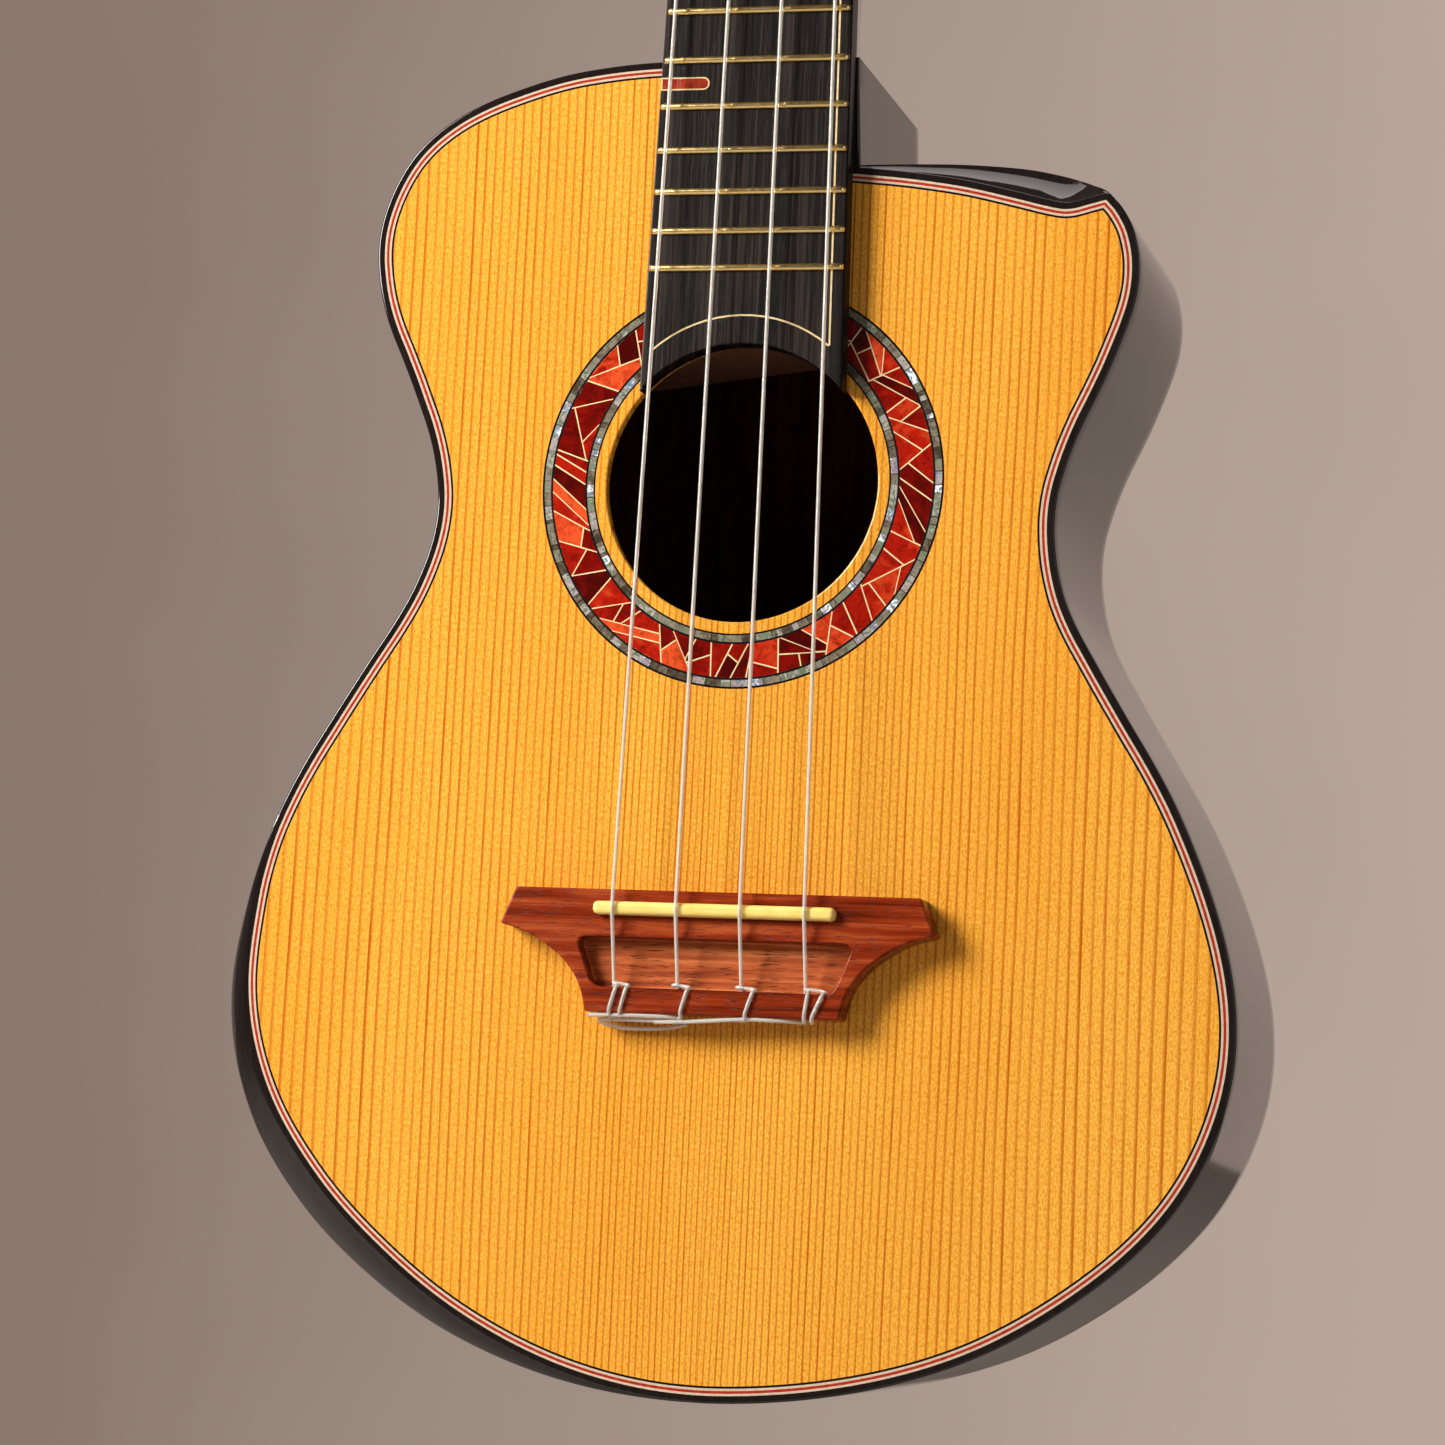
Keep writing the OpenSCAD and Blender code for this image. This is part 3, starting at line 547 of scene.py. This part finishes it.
def shell():
    """Abalone: grey and brown with green, blue, pink and white patches, and dark growth lines."""
    p = Paint("abalone", Roughness=0.25)
    tone = p.node("ShaderNodeAttribute", attribute_name="tile").outputs["Fac"]
    drift = p.noise(p.stretched(700, 700, 700), 3.0, 0.6, 1.2)
    drift = p.math("MULTIPLY", p.math("SUBTRACT", drift, 0.5), 1.1)
    colour = p.ramp(p.math("ADD", tone, drift), (0.0, (0.050, 0.038, 0.024)), (0.25, (0.15, 0.125, 0.085)),
                    (0.45, (0.26, 0.235, 0.175)), (0.58, (0.10, 0.18, 0.10)), (0.68, (0.46, 0.43, 0.38)),
                    (0.80, (0.36, 0.25, 0.28)), (0.92, (0.10, 0.22, 0.32)), (1.0, (0.80, 0.84, 0.82)))
    vein = p.ramp(p.noise(p.stretched(1300, 1300, 1300, 9.0), 4.0, 0.6, 1.0), (0.54, 0.0), (0.66, 0.6))
    p.set("Base Color", p.mix(vein, colour, (0.035, 0.030, 0.026)))
    return lacquer(p, 1.0, 0.05)


def clear_line():
    """Clear fluorocarbon string."""
    p = Paint("clear_string", Roughness=0.07, IOR=1.42)
    cloud = p.noise(p.stretched(300, 300, 60))
    p.set("Base Color", p.ramp(cloud, (0.3, (0.90, 0.86, 0.78)), (0.7, (0.97, 0.94, 0.88))))
    p.set("Transmission Weight", 0.55)
    return p.material


def plastic(name, low, high):
    p = Paint(name, Roughness=0.28)
    swirl = p.noise(p.stretched(500, 500, 500), 4.0, 0.6, 0.8)
    p.set("Base Color", p.ramp(swirl, (0.35, low), (0.7, high)))
    return lacquer(p, 0.6, 0.08)


M = {
    "cedar": cedar(),
    "sides": dark_wood("side_wood", (0.0125, 0.0058, 0.0042), (0.040, 0.014, 0.009)),
    "back": dark_wood("back_wood", (0.016, 0.007, 0.0045), (0.060, 0.020, 0.012), (260, 260, 9),
                      bare_to=BODY_DEPTH - 1.2),
    "neck": dark_wood("neck_wood", (0.018, 0.008, 0.005), (0.050, 0.019, 0.011)),
    "black": black_wood(),
    "board": board_wood(),
    "bridge": bridge_wood(),
    "inner": bare_wood("brace_wood", (0.50, 0.31, 0.16), (0.62, 0.42, 0.24)),
    "block": bare_wood("block_wood", (0.30, 0.13, 0.075), (0.42, 0.20, 0.12)),
    "white": plain_line("white_line", (0.56, 0.42, 0.30), (0.68, 0.54, 0.40)),
    "red": plain_line("red_line", (0.30, 0.018, 0.010), (0.46, 0.040, 0.018)),
    "cream": plain_line("cream_line", (0.76, 0.60, 0.30), (0.88, 0.74, 0.40)),
    "gold_line": plain_line("gold_line", (0.62, 0.46, 0.22), (0.78, 0.62, 0.34)),
    "marker": plain_line("marker_red", (0.20, 0.012, 0.007), (0.36, 0.045, 0.02), 500),
    "burl": burl(),
    "shell": shell(),
    "fret": metal("fret_wire", (0.96, 0.66, 0.24), (1.0, 0.78, 0.36), (0.20, 0.26)),
    "gold": metal("gold_plate", (0.82, 0.58, 0.24), (0.92, 0.68, 0.32)),
    "brass": metal("gear_brass", (0.72, 0.52, 0.23), (0.84, 0.63, 0.31), (0.22, 0.36)),
    "steel": metal("rod_steel", (0.30, 0.30, 0.31), (0.42, 0.42, 0.43), (0.35, 0.5)),
    "nut": bone("nut_bone", (0.72, 0.64, 0.46), (0.86, 0.79, 0.62)),
    "saddle": bone("saddle_bone", (0.88, 0.60, 0.14), (0.97, 0.74, 0.23)),
    "string": clear_line(),
    "button": plastic("button_black", (0.010, 0.009, 0.009), (0.030, 0.026, 0.026)),
}


# ---------------------------------------------------------------- sound box

def body_outlines():
    """The front edge and the rim, smooth and matched point for point."""
    front = started_at(flat_loops("top_binding", 0.0)[0], NECK_CORNER)
    rim = started_at(flat_loops("back_binding", BODY_DEPTH)[0], NECK_CORNER)
    if len(front) != len(rim):
        raise ValueError(f"front edge has {len(front)} points and rim {len(rim)}")
    return refine(front, 4), refine(rim, 4)


def bevel_widths(front, rim):
    return np.linalg.norm(rim - front, axis=1)


def bevel_depths(front, rim):
    """How deep the bevel reaches at each point of the rim."""
    return np.sqrt((bevel_widths(front, rim) * BEVEL_SLOPE) ** 2 + EDGE_ROUND ** 2)


def black_floor(front, rim):
    """The depth where the dark side starts under the binding or a bevel."""
    return np.maximum(BINDING_H, bevel_depths(front, rim) + BEVEL_FLOOR)


def make_soundboard(front):
    edge = inset(front, EDGE_STEPS[-1])
    mouth = [at_depth(circle(HOLE_R + d), y) for d, y in rounded(0.5, 0.0, TOP_T)]
    rosette_in, rosette_out = ROSETTE["lines"][0][0], ROSETTE["lines"][-1][1]
    parts = [plate(edge, 0.0, TOP_T, holes=[ring_wall(rosette_out, 0.0)]),
             slab(ring_wall(rosette_in, 0.0), [mouth]),
             slab(ring_wall(rosette_out, INLAY_DEPTH), [ring_wall(rosette_in, INLAY_DEPTH)])]
    mesh_piece("cedar_top", parts, M["cedar"], ["soundboard"])


def ring_wall(radius, top):
    return [at_depth(circle(radius), top), at_depth(circle(radius), TOP_T)]


def binding(name, outline, section, node):
    mesh_piece(name, [ring(profile_rows(outline, section))], M["black"], [node])


def make_edges(front, rim):
    section = [(EDGE_STEPS[1], BINDING_H), (EDGE_STEPS[1], 0.0), *rounded(EDGE_ROUND, 0.0, BINDING_H)]
    binding("binding_front", front, section, "top_binding")
    lines = [flat_ring(front, k) for k in (1, 2, 3, 4)]
    mesh_piece("line_white", [lines[0], lines[2]], M["white"], ["white_purfling"])
    mesh_piece("line_red", [lines[1]], M["red"], ["red_purfling"])
    mesh_piece("line_black", [lines[3]], M["black"], ["black_purfling"])
    low = BODY_DEPTH - BINDING_H
    section = [(SIDE_T, low), (SIDE_T, BODY_DEPTH), *rounded(BACK_ROUND, BODY_DEPTH, low)]
    binding("binding_back", rim, section, "back_binding")


def flat_ring(outline, step):
    """A line let into the top, between two of the edge's steps."""
    return inlay(inset(outline, EDGE_STEPS[step]), inset(outline, EDGE_STEPS[step + 1]))


def inlay(outer, inner):
    return ring([at_depth(outer, 0.0), at_depth(outer, INLAY_DEPTH),
                 at_depth(inner, INLAY_DEPTH), at_depth(inner, 0.0)])


def make_sides(front, rim):
    top = black_floor(front, rim)
    bottom = BODY_DEPTH - BINDING_H
    inner = inset(rim, SIDE_T)
    rows = [at_depth(rim, top), at_depth(rim, bottom), at_depth(inner, bottom), at_depth(inner, top)]
    mesh_piece("side_walls", [ring(rows)], M["sides"], ["sides"])
    plate_rows = [at_depth(inner, BODY_DEPTH), at_depth(inner, BODY_DEPTH - BACK_T)]
    mesh_piece("back_plate", [slab(plate_rows)], M["back"], ["back"])


def bevel_section(front, inward, rim, depth, curve):
    """One station of a bevel: over the ridge, down the curved slope, round the lower edge and back."""
    turned, sunk, proud = 0.466, EDGE_ROUND * 0.107, 0.006
    floor = max(BINDING_H, depth + BEVEL_FLOOR)
    ridge = front + inward * EDGE_ROUND
    lip = front + inward * (EDGE_ROUND * (1 - turned))
    section = [(ridge, -proud), (lip, sunk - proud)]
    for t in np.linspace(0.08, 1.0, 12):
        level = depth * (curve * t + (1 - curve) * t * t)
        section.append((lip + (rim - lip) * t, max(level, sunk)))
    foot = rim - inward * proud
    section += [(foot, depth + 0.25), (foot, floor), (rim + inward * SIDE_T, floor), (ridge, floor)]
    return np.array([(p[0], y, p[1]) for p, y in section]) * MM


def make_bevel(name, node, front, rim, stations, curve):
    depth = bevel_depths(front, rim)
    inner = inset(front, 1.0)
    rows = []
    for i in stations:
        inward = inner[i] - front[i]
        inward = inward / max(np.linalg.norm(inward), 1e-6)
        rows.append(bevel_section(front[i], inward, rim[i], depth[i], curve))
    mesh_piece(name, [skin(rows)], M["black"], [node], angle=40)


def make_bevels(front, rim):
    bevelled = bevel_widths(front, rim) > 0.03
    bass = np.flatnonzero(bevelled & (front[:, 0] < 10))
    horn = np.flatnonzero(bevelled & (front[:, 0] > 10))
    make_bevel("bevel_arm", "arm_bevel", front, rim, bass, 0.44)
    make_bevel("bevel_cutaway", "cutaway_bevel", front, rim, horn, 1.4)


# ---------------------------------------------------------------- rosette

def polar(radius, turn):
    return (radius * math.cos(turn), HOLE_Z + radius * math.sin(turn))


def sector(first, last, inner, outer):
    """A piece of the ring between two slanted cuts, each given by its inner and its outer turn."""
    near = np.linspace(first[0], last[0], 9)
    far = np.linspace(last[1], first[1], 9)
    return [polar(inner, t) for t in near] + [polar(outer, t) for t in far]


def half_of(cell, point, normal):
    """The part of a cell on one side of a straight cut."""
    out = []
    side = [(x - point[0]) * normal[0] + (z - point[1]) * normal[1] for x, z in cell]
    for (a, b, u, v) in zip(cell, cell[1:] + cell[:1], side, side[1:] + side[:1]):
        if u >= 0:
            out.append(a)
        if u * v < 0:
            t = u / (u - v)
            out.append((a[0] + (b[0] - a[0]) * t, a[1] + (b[1] - a[1]) * t))
    return out


def cell_area(cell):
    return abs(sum(a[0] * b[1] - b[0] * a[1] for a, b in zip(cell, cell[1:] + cell[:1]))) / 2


def split_cell(cell, rng):
    """Cuts a cell with straight lines until no piece is larger than a tile."""
    if cell_area(cell) < rng.uniform(26, 52):
        return [cell]
    middle = [sum(c[k] for c in cell) / len(cell) for k in (0, 1)]
    radial = math.atan2(middle[1] - HOLE_Z, middle[0])
    for _ in range(12):
        lean = radial + rng.choice((-1, 1)) * rng.uniform(0.15, 1.25)
        point = [m + rng.uniform(-1.6, 1.6) for m in middle]
        normal = (-math.sin(lean), math.cos(lean))
        halves = [half_of(cell, point, (way * normal[0], way * normal[1])) for way in (1, -1)]
        if min(map(cell_area, halves)) > 11:
            return [tile for half in halves for tile in split_cell(half, rng)]
    return [cell]


def mosaic_cells(rng):
    """Tiles of uneven shape round the ring."""
    inner, outer = ROSETTE["mosaic"][0] - TILE_GAP, ROSETTE["mosaic"][1] + TILE_GAP
    cuts = []
    for k in range(SECTORS):
        turn = 2 * math.pi * (k + rng.uniform(-0.2, 0.2)) / SECTORS
        slant = rng.uniform(-0.09, 0.09)
        cuts.append((turn - slant, turn + slant))
    cuts.append(tuple(turn + 2 * math.pi for turn in cuts[0]))
    return [tile for first, last in zip(cuts, cuts[1:])
            for tile in split_cell(sector(first, last, inner, outer), rng)]


def without_slivers(cell):
    """The cell's corners, without those that nearly coincide."""
    return [c for k, c in enumerate(cell) if math.dist(c, cell[k - 1]) > 0.05]


def pulled_in(loop, gap):
    before = loop - np.roll(loop, 1, axis=0)
    after = np.roll(before, -1, axis=0)
    unit = [v / np.linalg.norm(v, axis=1)[:, None] for v in (before, after)]
    mitre = sum(np.column_stack([-u[:, 1], u[:, 0]]) for u in unit)
    reach = np.minimum(2 * gap / np.maximum(np.sum(mitre * mitre, axis=1), 1e-3), gap * 1.6)
    return loop + mitre * reach[:, None]


def make_mosaic(rng):
    inner, outer = ROSETTE["mosaic"]
    mesh_piece("mosaic_lines", [inlay(circle(outer), circle(inner))], M["cream"])
    parts = [plate(pulled_in(anticlockwise(np.array(without_slivers(cell))), TILE_GAP), -0.012, 0.2)
             for cell in mosaic_cells(rng)]
    piece = mesh_piece("mosaic_tiles", parts, M["burl"], ["rosette_mosaic"])
    tag_islands(piece.data, rng)


def tag_islands(mesh, rng):
    """Gives every separate tile its own tone."""
    parent = list(range(len(mesh.vertices)))

    def root(i):
        while parent[i] != i:
            parent[i] = parent[parent[i]]
            i = parent[i]
        return i

    for edge in mesh.edges:
        a, b = root(edge.vertices[0]), root(edge.vertices[1])
        parent[max(a, b)] = min(a, b)
    tone = {}
    layer = mesh.attributes.new("tile", "FLOAT", "POINT")
    for i in range(len(mesh.vertices)):
        layer.data[i].value = tone.setdefault(root(i), rng.random())


def make_shell_rings(rng):
    """Short arcs of shell with thin dark joints between them."""
    parts = []
    for inner, outer in ROSETTE["shell"]:
        turn = 0.0
        while turn < 2 * math.pi:
            length = rng.uniform(0.8, 4.2) / inner
            if turn + length > 2 * math.pi - 1.2 / inner:
                length = 2 * math.pi - turn
            joint = rng.choice((0.03, 0.10, 0.18)) / inner
            parts.append(arc_tile(inner, outer, turn, turn + length - joint))
            turn += length
    piece = mesh_piece("shell_rings", parts, M["shell"], ["rosette_shell"])
    tag_islands(piece.data, rng)


def arc_tile(inner, outer, start, end):
    steps = max(2, int((end - start) / 0.02))
    turns = np.linspace(start, end, steps + 1)
    path = [polar(inner, t) for t in turns[::-1]] + [polar(outer, t) for t in turns]
    return plate(anticlockwise(np.array(path)), -0.006, 0.3)


def make_rosette_lines():
    """The black lines, and the dark bed that shows between the pieces of shell."""
    parts = [inlay(circle(outer), circle(inner)) for inner, outer in (*ROSETTE["lines"], *ROSETTE["shell"])]
    mesh_piece("rosette_black", parts, M["black"], ["rosette_lines"])


# ---------------------------------------------------------------- fretboard

def fret_z(n):
    return -SCALE_LENGTH * (1 - 2 ** (-n / 12))


def board_half(z):
    return NUT_HALF - BOARD_TAPER * z


def make_board():
    outline = refine(flat_loops("fretboard", 0.0)[0], 3, 20)
    mesh_piece("board", [plate(outline, BOARD_TOP, 0.0, 0.3)], M["board"], ["fretboard"])
    lifted("pinstripe", 0.012, M["gold_line"])
    lifted("fret_markers", 0.012, M["gold_line"])
    bars = [plate(inset(loop, MARKER_LINE), BOARD_TOP - 0.02, BOARD_TOP + 0.2)
            for loop in flat_loops("fret_markers", BOARD_TOP)]
    mesh_piece("marker_bars", bars, M["marker"])


def fret_bar(z, half):
    """A domed bar with filed ends."""
    turns = np.linspace(0, math.pi, 9)
    filed = ((0.0, 0.12), (0.25, 0.55), (0.6, 0.9), (1.1, 1.0))
    ends = [(back - half, scale) for back, scale in filed]
    ends += [(half - back, scale) for back, scale in reversed(filed)]
    root = BOARD_TOP + 0.3
    rows = []
    for x, scale in ends:
        width, height = FRET["half_width"] * (0.55 + 0.45 * scale), FRET["height"] * scale
        dome = [(x, BOARD_TOP - height * math.sin(t) ** 0.8, z + width * math.cos(t)) for t in turns]
        rows.append(np.array([*dome, (x, root, z - width), (x, root, z + width)]) * MM)
    return skin(rows)


def make_frets():
    places = [fret_z(n) for n in range(1, FRET_COUNT + 1)]
    parts = [fret_bar(z, board_half(z) - FRET["end_gap"]) for z in places]
    mesh_piece("fret_bars", parts, M["fret"], ["frets"], angle=50)


# ---------------------------------------------------------------- bridge and strings

def make_bridge():
    low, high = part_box("saddle")
    slot_z = (low.z / MM - 0.2, high.z / MM + 0.2)

    def stays_sharp(a, b):
        in_slot = all(slot_z[0] < p.z < slot_z[1] for p in (a, b))
        on_top = all(p.y > -0.1 for p in (a, b))
        return in_slot or on_top

    soften("bridge", 0.55, M["bridge"], keep=stays_sharp)


def make_saddle():
    """The saddle's box with round ends and a round top; turn is the ends' radius and edge the top's."""
    low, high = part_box("saddle")
    left, right = low.x / MM, high.x / MM
    front, back, turn, edge = high.z / MM, low.z / MM, 1.2, 1.1
    corners = [(right - turn, back + turn, -90), (right - turn, front - turn, 0),
               (left + turn, front - turn, 90), (left + turn, back + turn, 180)]
    outline = [(x + turn * math.cos(math.radians(a + s)), z + turn * math.sin(math.radians(a + s)))
               for x, z, a in corners for s in range(0, 91, 15)]
    body = plate(np.array(outline), low.y / MM, high.y / MM, edge)
    mesh_piece("saddle_bar", [body], M["saddle"], ["saddle"])


def smooth_path(points, steps):
    """More points on the smooth curve through the given ones."""
    p = [np.array(q, float) for q in points]
    p = [2 * p[0] - p[1], *p, 2 * p[-1] - p[-2]]
    out = []
    for a, b, c, d in zip(p, p[1:], p[2:], p[3:]):
        for t in np.arange(steps) / steps:
            out.append(0.5 * (2 * b + (c - a) * t + (2 * a - 5 * b + 4 * c - d) * t ** 2
                              + (3 * b - a - 3 * c + d) * t ** 3))
    out.append(p[-2])
    return out


def thread(name, paths, stands_for):
    """A string along one or more paths in millimetres."""
    curve = bpy.data.curves.new(name, "CURVE")
    curve.dimensions = "3D"
    curve.bevel_depth = STRING_D / 2 * MM
    curve.bevel_resolution = 4
    curve.use_fill_caps = True
    for path in paths:
        spline = curve.splines.new("POLY")
        spline.points.add(len(path) - 1)
        for point, co in zip(spline.points, path):
            point.co = (*(float(c) * MM for c in co), 1.0)
        spline.use_smooth = True
    return add_piece(name, curve, M["string"], stands_for)


TIE = {"front": -450.8, "middle": -453.4, "back": -456.4, "top": -7.75, "hole": -5.0}
SADDLE = {"z": -433.4, "y": -10.4}
SPACING = {"nut": 10.0, "saddle": 14.6}
# For each string: where its loop crosses the tie block, from the back to the front, strand by strand
TIE_LOOPS = {"g": ((-22.2, -20.9), (-19.7, -18.5)), "c": ((-5.8, -4.5),), "e": ((8.9, 10.4),),
             "a": ((22.3, 22.9), (24.1, 26.2))}
# Each string's tail behind the tie block
TAILS = {
    "g": ((-21.4, -4.6, -457.1), (-24.0, -5.6, -457.0), (-27.4, -6.4, -457.1)),
    "c": ((-6.0, -5.2, -457.2), (-10.0, -6.6, -457.0), (-18.0, -6.9, -457.0), (-27.0, -6.9, -457.2)),
    "e": ((8.6, -4.6, -457.2), (4.0, -5.7, -457.1), (-6.0, -5.9, -457.9), (-18.0, -5.6, -457.9),
          (-24.6, -4.4, -458.0), (-24.9, -3.2, -458.6), (-20.0, -2.2, -459.6), (-11.0, -2.6, -459.4),
          (-5.0, -3.6, -458.4)),
    "a": ((22.2, -4.4, -457.1), (17.0, -6.2, -457.0), (8.0, -6.9, -457.0), (-4.0, -6.6, -457.9),
          (-12.0, -6.2, -458.2)),
}


def string_x(letter, place):
    return (STRINGS.index(letter) - 1.5) * SPACING[place]


def tie_middle(back_x, front_x):
    """Where a strand crosses the middle of the tie block's top."""
    return (back_x * 0.5 + front_x * 0.5, TIE["top"] - 0.12, TIE["middle"])


def tie_path(letter, x):
    """Through the tie block, back over it, and under the string; a doubled loop goes over it again."""
    top, hole, rear, front = TIE["top"], TIE["hole"], TIE["back"] - 0.55, TIE["front"] + 0.45
    (back_x, front_x), *again = TIE_LOOPS[letter]
    path = [(x, hole, TIE["front"] - 1), (x, hole, TIE["back"] + 0.4),
            (x + (back_x - x) * 0.35, hole - 0.5, rear), (back_x, hole - 1.8, rear - 0.15),
            (back_x, top + 0.05, TIE["back"] + 0.5), tie_middle(back_x, front_x),
            (front_x, top + 0.05, TIE["front"] - 0.3), (front_x, top + 1.5, front)]
    if not again:
        return [*path, (x - 0.9, hole - 0.7, front + 0.45), (x + 0.5, hole - 0.9, front + 0.3),
                (x + 0.4, hole + 0.6, front - 0.05)]
    back_x, front_x = again[0]
    return [*path, (x + 0.1, hole - 1.0, front + 0.5), (front_x, top + 1.6, front + 0.05),
            (front_x, top + 0.05, TIE["front"] - 0.3), tie_middle(back_x, front_x),
            (back_x, top + 0.1, TIE["back"] + 0.4), (back_x - 0.3, top + 1.3, rear - 0.1),
            (back_x - 0.8, top + 2.6, rear - 0.1)]


def make_string(letter):
    at_nut, at_saddle = string_x(letter, "nut"), string_x(letter, "saddle")
    nut = [(at_nut, -6.9, 4.2), (at_nut, -6.92, 2.0), (at_nut, -6.9, 0.0)]
    over_saddle = ((0.05, 1.6), (-0.02, 0), (0.35, -1.2))
    saddle = [(at_saddle, SADDLE["y"] + y, SADDLE["z"] + z) for y, z in over_saddle]
    tied = smooth_path(tie_path(letter, at_saddle), 6)
    line = [string_head_point(letter), *nut, *saddle, *tied]
    thread("line_" + letter, [line, smooth_path(TAILS[letter], 8)], ["string_" + letter])


def string_head_point(letter):
    """The middle of the CAD string's upper end."""
    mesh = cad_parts["string_" + letter].data
    top = max(v.co.z for v in mesh.vertices)
    ends = [v.co for v in mesh.vertices if v.co.z > top - 1e-4]
    return tuple(sum((Vector(e) for e in ends), Vector()) / len(ends) / MM)


# ---------------------------------------------------------------- neck and headstock

def make_neck():
    def stays_sharp(a, b):
        on_joint = any(p.z < HEEL_FOOT for p in (a, b))
        under_board = all(abs(p.y) < 0.2 and p.z < 6 for p in (a, b))
        return on_joint or under_board

    soften("neck", 0.6, M["neck"], smallest=0.7, keep=stays_sharp, limit=50)
    soften("headstock_veneer", 0.35, M["black"], smallest=0.3, limit=50)
    soften("nut", 0.35, M["nut"], smallest=0.8)


def make_tuners():
    soften("tuner_plates", 0.25, M["gold"], smallest=0.35, limit=50)
    soften("tuner_bushings", 0.3, M["gold"], smallest=0.35, limit=50)
    for letter in STRINGS:
        soften("button_" + letter, 1.1, M["button"], smallest=0.5, limit=50,
               body="tuner_shaft_" + letter)
        for kind, look in (("worm", "brass"), ("gear", "brass"), ("post", "gold"), ("winding", "string")):
            paint(f"{kind}_{letter}", M[look])
    paint("tuner_screws", M["gold"])


def paint_inside():
    for node in ("neck_block", "tail_block", "bridge_plate"):
        paint(node, M["block"])
    for node in ("top_linings", "back_linings", "soundboard_braces", "back_braces"):
        paint(node, M["inner"])
    paint("neck_rod", M["steel"])
    paint("heel_cap", M["black"])


# ---------------------------------------------------------------- studio

# The studio's measures, in metres
AIM = (0, 0, -0.38)
STAGE = {"sides": (-5, 4), "front": -3, "back": 3.4, "floor": -0.80, "wall": (-1.6, 3.0)}
CAMERA = {"place": (0.2414, -0.9039, -0.4992), "right": (0.96609, 0.25335, 0.04979),
          "forward": (-0.25756, 0.95916, 0.11698), "lens": 104.93, "shift": (-0.0008, -0.0047)}


def add_camera():
    data = bpy.data.cameras.new("camera")
    data.sensor_width = 36.0
    data.lens = CAMERA["lens"]
    data.shift_x, data.shift_y = CAMERA["shift"]
    camera = bpy.data.objects.new("camera", data)
    right, forward = (Vector(CAMERA[way]).normalized() for way in ("right", "forward"))
    turn = Matrix((right, right.cross(forward), -forward)).transposed()
    camera.matrix_world = Matrix.Translation(CAMERA["place"]) @ turn.to_4x4()
    bpy.context.scene.collection.objects.link(camera)
    bpy.context.scene.camera = camera


def add_area(name, place, size, power, colour):
    data = bpy.data.lights.new(name, "AREA")
    data.shape = "RECTANGLE"
    data.size, data.size_y = size
    data.energy = power
    data.color = colour
    lamp = bpy.data.objects.new(name, data)
    lamp.location = place
    lamp.rotation_mode = "QUATERNION"
    lamp.rotation_quaternion = (Vector(AIM) - Vector(place)).to_track_quat("-Z", "Y")
    bpy.context.scene.collection.objects.link(lamp)


def add_lights():
    add_area("key", (-0.85, -0.75, 0.12), (0.5, 0.6), 29.0, (1.0, 0.97, 0.93))
    add_area("fill", (1.5, -1.2, -0.1), (1.4, 1.6), 6, (1.0, 0.96, 0.92))
    add_area("above", (-0.2, 0.35, 1.0), (0.7, 0.5), 2.0, (1.0, 0.88, 0.84))
    add_area("behind", (0.1, 1.9, 1.3), (1.2, 1.0), 9, (1.0, 0.95, 0.90))


def panel(name, corners, material):
    mesh = bpy.data.meshes.new(name)
    mesh.from_pydata(corners, [], [(0, 1, 2, 3)])
    mesh.materials.append(material)
    piece = bpy.data.objects.new(name, mesh)
    bpy.context.scene.collection.objects.link(piece)


def add_backdrop():
    """A softly mottled wall that gives its own light: a painted glow, darker towards the left as if lit from
    the right.
    """
    p = Paint("backdrop", Roughness=0.95)
    mottle = p.math("MULTIPLY", p.noise(p.stretched(1.6, 1, 1.6), 3.0), 0.12)
    # Painted light falloff: the glow grows brighter towards the right
    across = p.math("ADD", p.math("ADD", p.math("MULTIPLY", p.split()[0], 0.26), 0.474), mottle)
    tone = p.ramp(across, (0.1, (0.254, 0.188, 0.156)), (0.5, (0.479, 0.381, 0.328)),
                  (0.8, (0.46, 0.365, 0.315)))
    p.set("Base Color", (0.0, 0.0, 0.0))
    p.set("Emission Color", tone)
    p.set("Emission Strength", 1.0)
    corners = [(x, STAGE["back"], z) for x, z in rectangle(STAGE["sides"], STAGE["wall"])]
    panel("backdrop", corners, p.material)


def add_floor():
    p = Paint("floor", Roughness=0.8)
    p.set("Base Color", (0.40, 0.365, 0.34))
    corners = [(x, y, STAGE["floor"]) for x, y in rectangle(STAGE["sides"], (STAGE["front"], STAGE["back"]))]
    panel("floor", corners, p.material)


def rectangle(across, along):
    (left, right), (low, high) = across, along
    return [(left, low), (right, low), (right, high), (left, high)]


def add_world():
    world = bpy.data.worlds.new("studio")
    world.use_nodes = True
    background = world.node_tree.nodes["Background"]
    background.inputs["Color"].default_value = (1.0, 0.92, 0.86, 1)
    background.inputs["Strength"].default_value = 0.06
    bpy.context.scene.world = world
    bpy.context.scene.view_settings.view_transform = "Standard"


# ---------------------------------------------------------------- build

add_camera()
add_lights()
add_backdrop()
add_floor()
add_world()
FRONT, RIM = body_outlines()
make_soundboard(FRONT)
make_edges(FRONT, RIM)
make_sides(FRONT, RIM)
make_bevels(FRONT, RIM)
make_mosaic(random.Random(7))
make_shell_rings(random.Random(11))
make_rosette_lines()
make_board()
make_frets()
make_bridge()
make_saddle()
for STRING in STRINGS:
    make_string(STRING)
make_neck()
make_tuners()
paint_inside()
